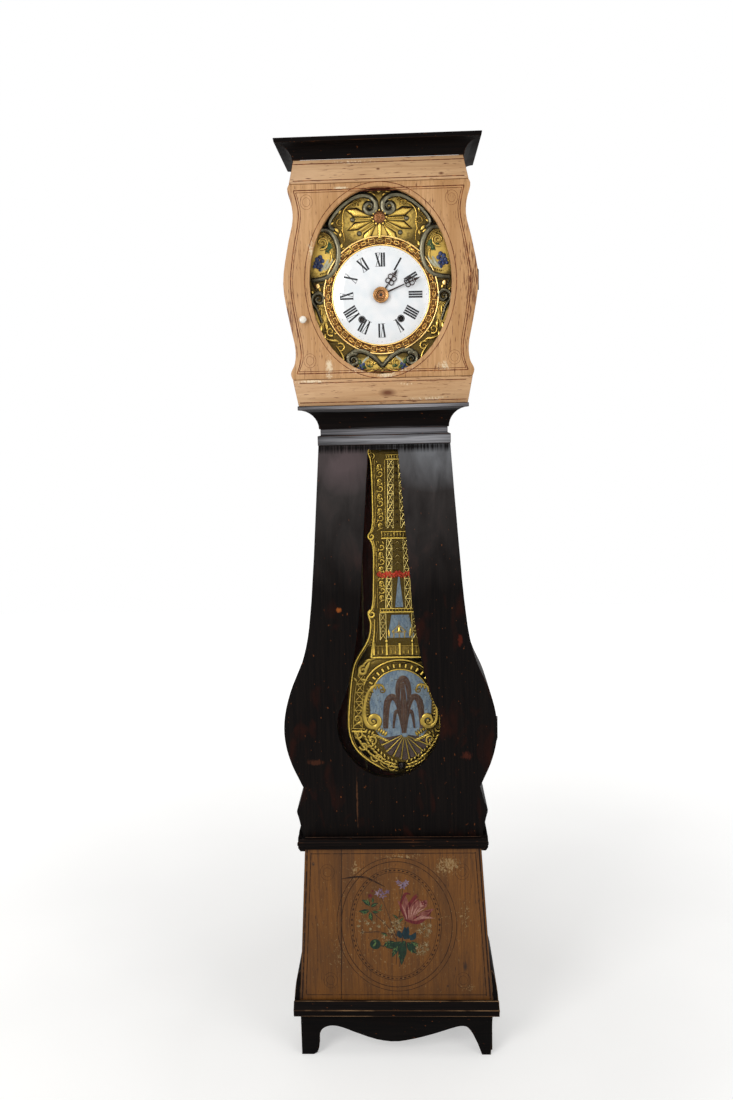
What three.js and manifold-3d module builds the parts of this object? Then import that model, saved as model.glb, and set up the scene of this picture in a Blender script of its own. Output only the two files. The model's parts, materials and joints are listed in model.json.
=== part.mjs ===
// A longcase clock of the Franche-Comte kind: a waisted pine case with a hood, an eight-day movement
// and a wide embossed pendulum.
// Millimetres, +Z up, the clock faces -Y. The origin is on the floor, under the middle of the case.
import * as THREE from "three";
import { mergeVertices } from "three/addons/utils/BufferGeometryUtils.js";
import Module from "manifold-3d";

const wasm = await Module();
wasm.setup();

// Heights of the case, from the floor up
const plinthHeight = 125;
const baseMouldingHeight = 40;
const basePanelHeight = 440;
const waistMouldingHeight = 31;
const trunkDoorHeight = 1043;
const battenHeight = 24;
const filletHeight = 17;
const neckMouldingHeight = 58;
const hoodBottomRailHeight = 64;
const hoodDoorHeight = 462;
const hoodTopRailHeight = 54;
const corniceHeight = 42;

const basePanelZ = plinthHeight + baseMouldingHeight;
const waistZ = basePanelZ + basePanelHeight;
const trunkZ = waistZ + waistMouldingHeight;
const battenZ = trunkZ + trunkDoorHeight;
const filletZ = battenZ + battenHeight;
const neckMouldingZ = filletZ + filletHeight;
const hoodZ = neckMouldingZ + neckMouldingHeight;
const hoodDoorZ = hoodZ + hoodBottomRailHeight;
const hoodTopRailZ = hoodDoorZ + hoodDoorHeight;
const corniceZ = hoodTopRailZ + hoodTopRailHeight;

// Depths of the case, from its back to its front
const trunkDepth = 200;
const hoodOverhang = 35;
const corniceProjection = 42.5;
const caseDepth = trunkDepth + hoodOverhang + corniceProjection;
const backY = caseDepth / 2;
const trunkFrontY = backY - trunkDepth;
const hoodFrontY = trunkFrontY - hoodOverhang;

// Boards and the gaps between them
const frontBoard = 20;
const sideBoard = 13;
const backBoard = 8;
const roofBoard = 14;
const seatGap = 0.3;
const doorGap = 1;
const cut = 5;
const weldTolerance = 1e-4;
const trunkBoxY = trunkFrontY + frontBoard;
const hoodBoxY = hoodFrontY + frontBoard;
const backBoardY = backY - backBoard;

// Half widths of the case
const trunkWidestHalf = 280;
const trunkLowShare = 0.853;
const baseStep = 4.6;
const baseSpread = 31.5;
const plinthStep = 1.75;
const baseMouldingProjection = 20;
const waistMouldingProjection = 20;
const baseTopHalf = trunkLowShare * trunkWidestHalf - baseStep;
const baseLowHalf = baseTopHalf + baseSpread;
const plinthHalf = baseLowHalf - plinthStep;
const baseMouldingHalf = plinthHalf + baseMouldingProjection;
const waistLipHalf = baseTopHalf + waistMouldingProjection;
const battenHalf = 167;
const neckHalf = 160;
const neckProjection = 50;
const hoodWidestHalf = 236.5;
const hoodLowHalf = 208.5;
const hoodTopHalf = 202;

// Outlines: shares of the piece's height and of its widest half width
const trunkScrollShares = [[0, trunkLowShare], [0.05, 0.889], [0.071, 0.907], [0.091, 0.879], [0.133, 0.836]];
const trunkBulgeShares = [
  [0.133, 0.836], [0.155, 0.874], [0.195, 0.938], [0.238, 0.983], [0.282, 1], [0.331, 0.983], [0.393, 0.918],
  [0.454, 0.818], [0.516, 0.754], [0.607, 0.707], [0.786, 0.65], [1, 0.593],
];
const apertureShares = [
  [0.158, 0], [0.165, 0.3], [0.186, 0.575], [0.2215, 0.815], [0.258, 0.955], [0.301, 1], [0.3346, 0.95],
  [0.374, 0.825], [0.445, 0.684], [0.527, 0.574], [0.617, 0.493], [0.718, 0.441], [0.867, 0.34], [0.9875, 0.28],
];
const hoodDoorShares = [
  [0, 0.934], [0.035, 0.951], [0.085, 0.908], [0.16, 0.896], [0.31, 0.95], [0.498, 1], [0.688, 0.942],
  [0.823, 0.88], [0.894, 0.887], [0.974, 0.926], [1, 0.909],
];
// The plinth's lower edge between the feet: shares of its half width and of its height
const plinthArchShares = [
  [-0.835, 0.05], [-0.815, 0.18], [-0.808, 0.46], [-0.78, 0.6], [-0.725, 0.672], [-0.66, 0.69], [-0.57, 0.65],
  [-0.42, 0.52], [-0.21, 0.363], [-0.02, 0.31], [0.18, 0.377], [0.405, 0.51], [0.615, 0.66], [0.683, 0.685],
  [0.73, 0.664], [0.78, 0.54], [0.842, 0.263],
];
const leftFootInnerShare = -0.875;
const rightFootInnerShare = 0.885;
const rightFootOuterShare = 0.977;
const sideFootLength = 42;
const sideArchShares = [[0, 0.3], [0.06, 0.55], [0.2, 0.69], [0.5, 0.6], [0.8, 0.69], [0.94, 0.55], [1, 0.3]];
const scrollSteps = 12;
const bulgeSteps = 34;
const hoodSteps = 34;
const apertureSteps = 30;
const archSteps = 40;

// Base front: two boards with a slanting joint
const jointTopShare = -0.585;
const jointLowShare = -0.568;

// Base and waist mouldings
const sideWedgeHeight = 125;
const wedgeStraightness = 0.55;
const waistSideDrop = 9;
const waistSideRise = 19;
const mouldingFillet = 6;

// Trunk opening and glass
const apertureHalf = 136;
const apertureShift = -4;
const paneThickness = 2;
const paneJointZ = 1190;
const paneMargin = 9;

// Batten and neck
const battenProjection = 6;
const neckFasciaHeight = 10;
const corniceFasciaHeight = 10;
const corniceBoardLip = 2;
const coveSteps = 8;
const smallSides = 16;
const barSides = 12;

// Hood door
const ovalStile = 63.5;
const ovalRail = 10;
const ovalHalfWidth = hoodWidestHalf - ovalStile;
const ovalHalfHeight = hoodDoorHeight / 2 - ovalRail;
const glassRebate = 4;
const glassThickness = 2.5;
const ovalSides = 48;
const knobRadius = 9;
const knobLength = 16;
const knobX = -190;
const knobDrop = 87;
const knobShares = [
  [0, 0], [0.67, 0], [0.67, 0.125], [0.33, 0.25], [0.33, 0.4], [0.8, 0.5], [1, 0.72], [0.75, 0.92], [0, 1],
];

// Hinges
const trunkHingeHeight = 60;
const hoodHingeHeight = 48;
const trunkHingeShare = 0.282;
const hoodHingeShare = 0.498;
const leafThickness = 1.5;
const hingeLeafDepth = 16;
const knuckleRadius = 2.5;
const pinRadius = 1.2;
const pinPlay = 0.3;
const hingeInset = 2;
const hingeSides = 10;

// Dial
const dialDrop = 29;
const dialRadius = 118.5;
const dialCrown = 7;
const dialThickness = 2;
const dialRings = 3;
const windingHoleRadius = 7;
const windingX = 48;
const windingDrop = 57;
const surroundMargin = 13;
const surroundHalf = ovalHalfWidth + surroundMargin;
const surroundHalfHeight = ovalHalfHeight + 1;
const surroundSheet = 1.5;
const surroundDepth = 43;
const meanderOuter = 142;
const meanderHeight = 5;
const surroundReliefHeight = 8;
// Bosses: shares of the sheet's half width, of its half height and, for their size, of its half width;
// then their section
const bossPlaceShares = [
  [0, 0.7546, 0.2386], [0.7634, 0.2794, 0.1527], [-0.7634, 0.2794, 0.1527], [0.3817, -0.8605, 0.1092],
  [-0.3817, -0.8605, 0.1092],
];
const bossShares = [[0, 1], [0.5, 0.7], [1, 0]];

// Hands
const handThickness = 1.2;
const handHalfWidth = 5.5;
// Right edge of a hand: shares of its length and of its half width
const handShares = [
  [0, 1], [0.3, 0.3], [0.55, 0.28], [0.58, 1.5], [0.64, 0.5], [0.7, 1.6], [0.76, 0.5], [0.8, 1.2], [0.86, 0.35],
];
const minuteHandLength = 106;
const hourHandLength = 74;
const minuteAngle = 67.5;
const hourAngle = 35;
const colletRadius = 19.5;
const colletHeight = 2.4;
const handGap = 1.6;
const arborRadius = 3;
const hourPipeRadius = 5.2;
const pipePlay = 0.4;
const hourWheelRadius = 22.5;
const hourWheelSides = 32;
const cannonPinionRadius = 7.5;
const motionGap = 4.8;
const colletSides = 20;
// Section of the brass collet: shares of its radius and of its height
const colletShares = [[1, 0.33], [0.8, 0.67], [0.6, 0.33], [0.3, 0.67], [0, 1]];

// Movement cage
const cageFrontDepth = 90;
const cageDepth = 120;
const cageHalf = 112;
const cagePlate = 6;
const cageBelowDial = 128;
const cageAboveDial = 132;
const pillarSize = 10;
const barWidth = 20;
const barThickness = 4;
const seatBoardThickness = 24;
const seatBoardHalfShare = 0.896;
const ropeHoleRadius = 12;

// Trains: tooth counts, and pitch radii that follow from one tooth size
const greatTeeth = 72;
const secondTeeth = 64;
const pinionLeaves = 8;
const greatRadius = 45;
const toothHeight = 2.2;
const meshPlay = 0.7;
const wheelThickness = 3;
const spokes = 4;
const spokeHalfAngle = 0.16;
// An opening between two spokes: shares of the way out and of its half angle
const crossingShares = [[1, -1], [1, -0.33], [1, 0.33], [1, 1], [0, 0.7], [0, -0.7]];
const greatWheelInset = 30;
const escapeDepth = 60;
const goingWheelAhead = 18;
const strikeWheelAhead = 30;
const escapeTeeth = 30;
const escapeRadius = 30;
const barrelRadius = 22;
const barrelLength = 46;
const drumSides = 24;
const squareShare = 0.9;
const barrelArborRadius = 4;
const squareLength = 16;
const hubRadius = 9;

// Pendulum and escapement
const pendulumX = 28;
const anchorRise = 48;
const crutchThickness = 3;
const crutchLength = 70;
const palletGap = 2.6;
const palletReachShare = 0.72;
// Right half of the anchor: shares of the pallets' reach and of the height up to its arbor
const anchorShares = [[0, 0.58], [0.954, 0.316], [1, 0.02], [1.23, 0.045], [1.14, 0.54], [0.23, 1.226]];
const rodRadius = 3;
const springReach = 22;
const springWidth = 8;
const springThickness = 0.8;
const rodDepth = 78;
const sheetThickness = 1.5;
const sheetDepth = 71;
const pendulumTopZ = 1706;
const pendulumLowZ = 795;
const pendulumHalf = 144;
// The embossed front of the pendulum: shares of its height and of its widest half width
const pendulumShares = [
  [0, 0.1], [0.017, 0.37], [0.046, 0.68], [0.083, 0.896], [0.12, 0.985], [0.165, 1], [0.233, 0.965],
  [0.325, 0.896], [0.361, 0.785], [0.407, 0.583], [0.45, 0.54], [0.466, 0.55], [0.484, 0.6], [0.5, 0.49],
  [0.69, 0.455], [0.71, 0.59], [0.73, 0.46], [0.93, 0.47], [0.95, 0.55], [0.965, 0.5], [1, 0.34],
];
const pendulumSteps = 44;
const fieldTopShare = 0.36;
const fieldWidthShare = 0.72;
const fieldRiseShare = 0.02;
const shaftWidthShare = 0.2;
const shaftLowShare = 0.4;
const nutRadius = 8;
const nutHeight = 14;
const nutRise = 26;
const clipHeight = 12;
const nutWindowMargin = 3;

// Weights and ropes
const weightRadius = 45;
const weightHeight = 190;
const weightLowZ = 150;
const weightDepth = 62;
const weightNeck = 14;
const weightChamfer = 4;
const weightShoulder = 11;
const ropeSides = 8;
const ropeRadius = 3;
const weightEye = 26;

// Bell and hammer
const bellRadius = 58;
const bellHeight = 40;
const bellWall = 3;
const bellSides = 20;
const domeRings = 5;
const nutSides = 6;
const bellClearance = 26;
const bellX = -14;
const bellDepth = 62;
const hammerGap = 1.2;
const hammerReach = 22;
const hammerHalfSpan = 12;
const hammerRadius = 7;
const hammerLength = 14;
const hammerRise = 6;
const hammerArm = 4;

const dialZ = hoodDoorZ + hoodDoorHeight / 2 - dialDrop;
const cageFrontY = hoodFrontY + cageFrontDepth;
const cageBackY = cageFrontY + cageDepth;
const cageLowZ = dialZ - cageBelowDial;
const cageTopZ = dialZ + cageAboveDial;
const windingZ = dialZ - windingDrop;
const surroundY = hoodFrontY + surroundDepth;
const nutZ = pendulumLowZ + nutRise;
const rodY = hoodFrontY + rodDepth;
const sheetY = hoodFrontY + sheetDepth;
const toothSize = (2 * Math.PI * greatRadius) / greatTeeth;
const pinionRadius = (pinionLeaves * toothSize) / (2 * Math.PI);
const secondRadius = (secondTeeth * toothSize) / (2 * Math.PI);
const greatCentres = greatRadius + pinionRadius + meshPlay;
const secondCentres = secondRadius + pinionRadius + meshPlay;
const secondZ = windingZ + Math.sqrt(greatCentres ** 2 - (windingX - pendulumX) ** 2);
const escapeZ = secondZ + secondCentres;
const anchorZ = escapeZ + anchorRise;
const weightX = windingX + barrelRadius;
const weightY = cageFrontY + weightDepth;
const bellY = cageFrontY + bellDepth;

const at = (x, y) => new THREE.Vector2(x, y);

// A curve through points that are given as pairs
function smooth(pairs, steps) {
  const points = pairs.map(([x, y]) => new THREE.Vector3(x, y, 0));
  return new THREE.CatmullRomCurve3(points, false, "centripetal").getPoints(steps).map((p) => at(p.x, p.y));
}

// The right edge of a shaped piece, bottom to top, from shares of its height and half width
function edge(shares, half, low, height, steps) {
  return smooth(shares.map(([up, out]) => [out * half, low + up * height]), steps);
}

function mirror(points) {
  return points.map((p) => at(-p.x, p.y)).reverse();
}

const bothSides = (rightEdge) => [...rightEdge, ...mirror(rightEdge)];

const shifted = (points, dx) => points.map((p) => at(p.x + dx, p.y));

// A strip of one board's thickness that follows an edge
const strip = (rightEdge, thickness) => [...rightEdge, ...shifted(rightEdge, -thickness).reverse()];

// A flat shape with its holes, drawn out to a depth
const drawnOut = (shape, depth) => new THREE.ExtrudeGeometry(shape, { depth, bevelEnabled: false });

// A quarter cove from one point to another, hollow towards the second point's height
function cove(from, to) {
  const points = [];
  for (let i = 0; i <= coveSteps; i++) {
    const angle = (i / coveSteps) * (Math.PI / 2);
    points.push(at(to.x + (from.x - to.x) * Math.cos(angle), from.y + (to.y - from.y) * Math.sin(angle)));
  }
  return points;
}

function ellipse(cx, cz, rx, rz, sides) {
  const points = [];
  for (let i = 0; i < sides; i++) {
    const angle = (i / sides) * 2 * Math.PI;
    points.push(at(cx + rx * Math.cos(angle), cz + rz * Math.sin(angle)));
  }
  return points;
}

// A closed geometry as a solid with its faces outwards
function solidOf(geometry) {
  const plain = geometry.index ? geometry.toNonIndexed() : geometry.clone();
  plain.deleteAttribute("normal");
  plain.deleteAttribute("uv");
  const merged = mergeVertices(plain, weldTolerance);
  const triangles = Uint32Array.from(merged.index.array);
  const make = () =>
    new wasm.Manifold(
      new wasm.Mesh({ numProp: 3, vertProperties: merged.attributes.position.array, triVerts: triangles }),
    );
  const solid = make();
  if (solid.volume() >= 0) return solid;
  for (let i = 0; i < triangles.length; i += 3) {
    [triangles[i], triangles[i + 1]] = [triangles[i + 1], triangles[i]];
  }
  return make();
}

// An outline in X and Z, made into a board between two depths
function slab(outline, frontY, rearY, holes = []) {
  const shape = new THREE.Shape(outline);
  for (const hole of holes) shape.holes.push(new THREE.Path(hole));
  const geometry = drawnOut(shape, rearY - frontY);
  return solidOf(geometry.rotateX(Math.PI / 2).translate(0, rearY, 0));
}

// An outline in Y and Z, made into a board between two places across
function slabAcross(outline, leftX, rightX) {
  const geometry = drawnOut(new THREE.Shape(outline), rightX - leftX);
  const turn = new THREE.Matrix4().makeBasis(
    new THREE.Vector3(0, 1, 0),
    new THREE.Vector3(0, 0, 1),
    new THREE.Vector3(1, 0, 0),
  );
  return solidOf(geometry.applyMatrix4(turn).translate(leftX, 0, 0));
}

function block(low, high) {
  const size = high.map((value, i) => value - low[i]);
  const geometry = new THREE.BoxGeometry(...size);
  return solidOf(geometry.translate(low[0] + size[0] / 2, low[1] + size[1] / 2, low[2] + size[2] / 2));
}

// A round bar along Y, and one along Z
function barAlongY(x, z, radius, frontY, rearY, sides = barSides) {
  const geometry = new THREE.CylinderGeometry(radius, radius, rearY - frontY, sides);
  return solidOf(geometry.translate(x, (frontY + rearY) / 2, z));
}

function barAlongZ(x, y, radius, lowZ, highZ, sides = smallSides) {
  const geometry = new THREE.CylinderGeometry(radius, radius, highZ - lowZ, sides).rotateX(Math.PI / 2);
  return solidOf(geometry.translate(x, y, (lowZ + highZ) / 2));
}

// A turned piece on an upright axis, from pairs of radius and height
function turned(profile, x, y, sides) {
  const geometry = new THREE.LatheGeometry(profile.map(([r, z]) => at(r, z)), sides);
  return solidOf(geometry.rotateX(Math.PI / 2).translate(x, y, 0));
}

// A turned piece on an axis along Y, from pairs of radius and depth
function turnedAlongY(profile, x, z, sides) {
  const geometry = new THREE.LatheGeometry(profile.map(([r, y]) => at(r, y)), sides);
  return solidOf(geometry.translate(x, 0, z));
}

const join = (...solids) => solids.reduce((whole, piece) => whole.add(piece));

function flip(solid) {
  return solidOf(geometryOf(solid).scale(-1, 1, 1));
}

function geometryOf(solid) {
  const { vertProperties, triVerts } = solid.getMesh();
  const geometry = new THREE.BufferGeometry();
  geometry.setAttribute("position", new THREE.BufferAttribute(vertProperties, 3));
  geometry.setIndex(new THREE.BufferAttribute(triVerts, 1));
  const faceted = geometry.toNonIndexed();
  faceted.computeVertexNormals();
  return faceted;
}

// A moulding along one edge, whose mitred ends follow its projection
function moulding(profile, place) {
  const geometry = drawnOut(new THREE.Shape(profile), 1);
  const positions = geometry.attributes.position;
  for (let i = 0; i < positions.count; i++) {
    positions.setXYZ(i, ...place(positions.getX(i), positions.getY(i), positions.getZ(i)));
  }
  return solidOf(geometry);
}

// Front and right mouldings of one profile round a box; the left one is the right one mirrored
function mouldingSet(profile, half, frontY, lowZ) {
  const front = moulding(profile, (out, up, along) => [
    (2 * along - 1) * (half + out - seatGap),
    frontY - out,
    lowZ + up,
  ]);
  const right = moulding(profile, (out, up, along) => [
    half + out,
    frontY - out + along * (backY - frontY + out),
    lowZ + up,
  ]);
  return { front, right, left: flip(right) };
}

// Finishes
const finish = (color, roughness, metalness = 0) =>
  new THREE.MeshStandardMaterial({ color, roughness, metalness });
const finishes = {
  hoodPine: finish(0xd3a06c, 0.55),
  basePine: finish(0x8a5f35, 0.55),
  darkPaint: finish(0x1d1411, 0.5),
  rawPine: finish(0x9c7a52, 0.8),
  glass: finish(0xdfe8e6, 0.05),
  enamel: finish(0xe6ebf0, 0.15),
  brass: finish(0xb98f3c, 0.35, 1),
  blackIron: finish(0x2b2a29, 0.55, 1),
  blueSteel: finish(0x1b1a1c, 0.35, 1),
  castIron: finish(0x3a3836, 0.75, 1),
  bellMetal: finish(0xa8843f, 0.3, 1),
  porcelain: finish(0xf1ede2, 0.15),
  hemp: finish(0xa48a5c, 0.95),
};

function node(parent, name, material, solid) {
  const mesh = new THREE.Mesh(geometryOf(solid), finishes[material]);
  mesh.name = name;
  parent.add(mesh);
}

// Base
const baseHalfAt = (z) => THREE.MathUtils.mapLinear(z, plinthHeight, trunkZ, baseLowHalf, baseTopHalf);

function plinthFront() {
  const archPoints = plinthArchShares.map(([out, up]) => [out * plinthHalf, up * plinthHeight]);
  const outline = [
    at(-plinthHalf, 0),
    at(leftFootInnerShare * plinthHalf, 0),
    ...smooth(archPoints, archSteps),
    at(rightFootInnerShare * plinthHalf, 0),
    at(rightFootOuterShare * plinthHalf, 0),
    at(plinthHalf, plinthHeight),
    at(-plinthHalf, plinthHeight),
  ];
  return slab(outline, trunkFrontY, trunkBoxY);
}

function plinthSide() {
  const archLow = trunkBoxY + sideFootLength;
  const archLength = backY - sideFootLength - archLow;
  const archPoints = sideArchShares.map(([along, up]) => [archLow + along * archLength, up * plinthHeight]);
  const outline = [
    at(trunkBoxY, 0),
    at(archLow, 0),
    ...smooth(archPoints, archSteps / 2),
    at(archLow + archLength, 0),
    at(backY, 0),
    at(backY, plinthHeight),
    at(trunkBoxY, plinthHeight),
  ];
  return slabAcross(outline, plinthHalf - frontBoard, plinthHalf);
}

function baseFrontBoards() {
  const low = plinthHeight;
  const joint = (z) =>
    THREE.MathUtils.mapLinear(z, low, trunkZ, jointLowShare * baseLowHalf, jointTopShare * baseTopHalf);
  const narrow = [
    at(-baseHalfAt(low), low),
    at(joint(low) - seatGap, low),
    at(joint(trunkZ) - seatGap, trunkZ),
    at(-baseHalfAt(trunkZ), trunkZ),
  ];
  const wide = [
    at(joint(low), low),
    at(baseHalfAt(low), low),
    at(baseHalfAt(trunkZ), trunkZ),
    at(joint(trunkZ), trunkZ),
  ];
  return [narrow, wide].map((outline) => slab(outline, trunkFrontY, trunkBoxY));
}

function baseSide() {
  const right = [at(baseHalfAt(plinthHeight), plinthHeight), at(baseHalfAt(trunkZ), trunkZ)];
  return slab(strip(right, sideBoard), trunkBoxY, backBoardY);
}

function baseMouldingFront() {
  const top = baseMouldingHeight;
  const bead = mouldingFillet;
  const profile = [
    at(0, 0),
    at(baseMouldingProjection - bead / 2, 0),
    at(baseMouldingProjection, bead / 2),
    at(baseMouldingProjection, top / 2),
    at(baseMouldingProjection - bead, top - 2 * bead),
    at(baseMouldingProjection / 2, top - bead),
    at(baseMouldingProjection / 2 - bead / 2, top),
    at(0, top),
  ];
  return moulding(profile, (out, up, along) => [
    (2 * along - 1) * (baseMouldingHalf - bead + Math.min(out, bead / 2)),
    trunkFrontY - out,
    plinthHeight + up,
  ]);
}

function baseMouldingSide() {
  const wedgeTop = plinthHeight + sideWedgeHeight;
  const hollow = cove(
    at(baseMouldingHalf - mouldingFillet / 2, plinthHeight + baseMouldingHeight / 2),
    at(baseHalfAt(wedgeTop) + mouldingFillet / 2, wedgeTop),
  );
  const rightEdge = [
    at(baseMouldingHalf - mouldingFillet / 2, plinthHeight),
    at(baseMouldingHalf, plinthHeight + mouldingFillet / 2),
    ...hollow.map((p, i) => {
      const straight = THREE.MathUtils.lerp(hollow[0].x, hollow.at(-1).x, i / coveSteps);
      return at(THREE.MathUtils.lerp(p.x, straight, wedgeStraightness), p.y);
    }),
    at(baseHalfAt(wedgeTop) + seatGap, wedgeTop),
    at(baseHalfAt(plinthHeight) + seatGap, plinthHeight),
  ];
  return slab(rightEdge, trunkFrontY, backY);
}

function waistMouldingFront() {
  const profile = [
    at(0, 0),
    at(waistMouldingProjection / 2, 0),
    ...cove(at(waistMouldingProjection / 2, 0), at(waistMouldingProjection, waistMouldingHeight / 2)),
    at(waistMouldingProjection, waistMouldingHeight - mouldingFillet),
    at(waistMouldingProjection - mouldingFillet, waistMouldingHeight - seatGap),
    at(0, waistMouldingHeight - seatGap),
  ];
  const half = waistLipHalf - waistMouldingProjection;
  return moulding(profile, (out, up, along) => [(2 * along - 1) * (half + out), trunkFrontY - out, waistZ + up]);
}

function waistMouldingSide() {
  const top = trunkZ + waistSideRise;
  const low = waistZ - waistSideDrop;
  const trunkClear = trunkScrollShares[1][1] * trunkWidestHalf - mouldingFillet / 2;
  const outline = [
    at(baseHalfAt(low) + seatGap, low),
    at(waistLipHalf - mouldingFillet, low),
    at(waistLipHalf, waistZ),
    at(waistLipHalf, waistZ + waistMouldingHeight / 2),
    ...cove(at(waistLipHalf, waistZ + waistMouldingHeight / 2), at(trunkClear + seatGap, top)).slice(1),
    at(trunkClear, top),
    at(trunkClear, trunkZ - seatGap),
    at(baseHalfAt(trunkZ) + seatGap, trunkZ - seatGap),
  ];
  const doorSweep = block(
    [0, trunkFrontY - cut, trunkZ],
    [waistLipHalf + cut, trunkBoxY + seatGap, top + cut],
  );
  return slab(outline, trunkFrontY, backY).subtract(doorSweep);
}

// Trunk
const trunkEdge = [
  ...edge(trunkScrollShares, trunkWidestHalf, trunkZ, trunkDoorHeight, scrollSteps),
  ...edge(trunkBulgeShares, trunkWidestHalf, trunkZ, trunkDoorHeight, bulgeSteps).slice(1),
];
const hoodDoorEdge = edge(hoodDoorShares, hoodWidestHalf, hoodDoorZ, hoodDoorHeight, hoodSteps);
const hoodEdge = [at(hoodLowHalf, hoodZ), ...hoodDoorEdge, at(hoodTopHalf, corniceZ)];
const trunkHinge = {
  x: trunkWidestHalf,
  y: trunkBoxY,
  z: trunkZ + trunkHingeShare * trunkDoorHeight,
  height: trunkHingeHeight,
};
const hoodHinge = {
  x: hoodWidestHalf,
  y: hoodBoxY,
  z: hoodDoorZ + hoodHingeShare * hoodDoorHeight,
  height: hoodHingeHeight,
};

// The space that a butt hinge takes out of the door's edge and the case's edge
function hingeRecess({ x, y, z, height }) {
  const reach = height / 2 + seatGap;
  const depth = hingeLeafDepth + seatGap;
  return join(
    block([x - hingeInset, y - depth, z - reach], [x + cut, y + depth, z + reach]),
    barAlongZ(x, y, knuckleRadius + 2 * seatGap, z - reach, z + reach, hingeSides),
  );
}

// A butt hinge's leaf: the case has the outer knuckles and the pin, the door the middle knuckle
function hingeLeaf({ x, y, z, height }, onDoor) {
  const leafX = x - hingeInset + seatGap;
  const low = z - height / 2;
  const third = height / 3;
  const nearY = onDoor ? y - hingeLeafDepth : y + seatGap;
  const farY = nearY + hingeLeafDepth - seatGap;
  const leaf = block([leafX, nearY, low], [leafX + leafThickness, farY, low + height]);
  const clear = knuckleRadius + 2 * seatGap;
  const bar = (from, to, radius) => barAlongZ(x, y, radius, from, to, hingeSides);
  if (onDoor) {
    return join(
      leaf
        .subtract(bar(low - cut, low + third + seatGap, clear))
        .subtract(bar(low + 2 * third - seatGap, low + height + cut, clear)),
      bar(low + third + seatGap, low + 2 * third - seatGap, knuckleRadius),
    ).subtract(bar(low, low + height, pinRadius + pinPlay));
  }
  return join(
    leaf.subtract(bar(low + third - seatGap, low + 2 * third + seatGap, clear)),
    bar(low, low + third, knuckleRadius),
    bar(low + 2 * third, low + height, knuckleRadius),
    bar(low, low + height, pinRadius),
  );
}

const neckEdge = [
  at(battenHalf - doorGap, filletZ),
  at(neckHalf - seatGap, filletZ),
  at(neckHalf - seatGap, hoodZ),
];

function caseBack() {
  const baseEdge = [at(baseHalfAt(plinthHeight), plinthHeight), at(baseHalfAt(trunkZ), trunkZ)];
  return slab(bothSides([...baseEdge, ...trunkEdge, ...neckEdge, ...hoodEdge]), backBoardY, backY);
}

const apertureEdge = edge(apertureShares, apertureHalf, trunkZ, trunkDoorHeight, apertureSteps);

function trunkDoor() {
  const clip = (p) => at(p.x, THREE.MathUtils.clamp(p.y, trunkZ + doorGap / 2, battenZ - doorGap / 2));
  const outline = bothSides(trunkEdge).map(clip);
  const opening = shifted([...apertureEdge, ...mirror(apertureEdge).slice(0, -1)], apertureShift);
  return slab(outline, trunkFrontY, trunkBoxY, [opening]).subtract(hingeRecess(trunkHinge));
}

function trunkPanes() {
  const frontY = trunkBoxY + seatGap;
  const widthAt = (z) => {
    const above = apertureEdge.findIndex((p) => p.y >= z);
    const [from, to] = apertureEdge.slice(above - 1, above + 1);
    return THREE.MathUtils.mapLinear(z, from.y, to.y, from.x, to.x);
  };
  const apertureTop = apertureEdge.at(-1);
  const lowHalf = apertureHalf + paneMargin;
  const lowZ = apertureEdge[0].y - paneMargin;
  const lower = [at(-lowHalf, lowZ), at(lowHalf, lowZ), at(lowHalf, paneJointZ), at(-lowHalf, paneJointZ)];
  const upperLow = paneJointZ + seatGap;
  const upperHigh = apertureTop.y + paneMargin;
  const upperRight = [
    at(widthAt(upperLow) + 2 * paneMargin, upperLow),
    at(apertureTop.x + paneMargin, upperHigh),
  ];
  return [lower, bothSides(upperRight)].map((outline) =>
    slab(shifted(outline, apertureShift), frontY, frontY + paneThickness),
  );
}

// The rail across the neck, with its batten over the door
function neckRail() {
  const half = neckHalf - seatGap;
  return join(
    block([-battenHalf, trunkFrontY - battenProjection, battenZ], [battenHalf, trunkBoxY, filletZ]),
    block([-half, trunkFrontY, filletZ - cut], [half, trunkBoxY, hoodZ]),
  );
}

// Neck and cornice
const neckProfile = [
  at(0, 0),
  ...cove(at(mouldingFillet / 2, 0), at(neckProjection, neckMouldingHeight - neckFasciaHeight)),
  at(neckProjection, neckMouldingHeight),
  at(0, neckMouldingHeight),
];
const corniceProfile = [
  at(0, 0),
  ...cove(
    at(mouldingFillet / 2, 0),
    at(corniceProjection - corniceBoardLip, corniceHeight - corniceFasciaHeight),
  ),
  at(corniceProjection, corniceHeight),
  at(0, corniceHeight),
];

// Hood
const ovalZ = hoodDoorZ + hoodDoorHeight / 2;

function hoodDoor() {
  const clip = (p) => at(p.x, THREE.MathUtils.clamp(p.y, hoodDoorZ + doorGap, hoodTopRailZ - doorGap));
  const opening = ellipse(0, ovalZ, ovalHalfWidth, ovalHalfHeight, ovalSides);
  const rebate = ellipse(0, ovalZ, ovalHalfWidth + glassRebate, ovalHalfHeight + glassRebate, ovalSides);
  return slab(bothSides(hoodDoorEdge).map(clip), hoodFrontY, hoodBoxY, [opening])
    .subtract(slab(rebate, hoodBoxY - glassRebate, hoodBoxY + cut))
    .subtract(hingeRecess(hoodHinge));
}

function hoodGlass() {
  const grow = glassRebate - seatGap;
  const outline = ellipse(0, ovalZ, ovalHalfWidth + grow, ovalHalfHeight + grow, ovalSides);
  const frontY = hoodBoxY - glassRebate + seatGap;
  return slab(outline, frontY, frontY + glassThickness);
}

function hoodKnob() {
  const foot = hoodFrontY - seatGap;
  const profile = knobShares.map(([out, along]) => [out * knobRadius, foot - along * knobLength]);
  return turnedAlongY(profile, knobX, ovalZ - knobDrop, smallSides);
}

function hoodRoof() {
  const inner = hoodTopHalf - sideBoard - seatGap;
  return block([-inner, hoodBoxY, corniceZ - roofBoard], [inner, backBoardY, corniceZ]);
}

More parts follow.
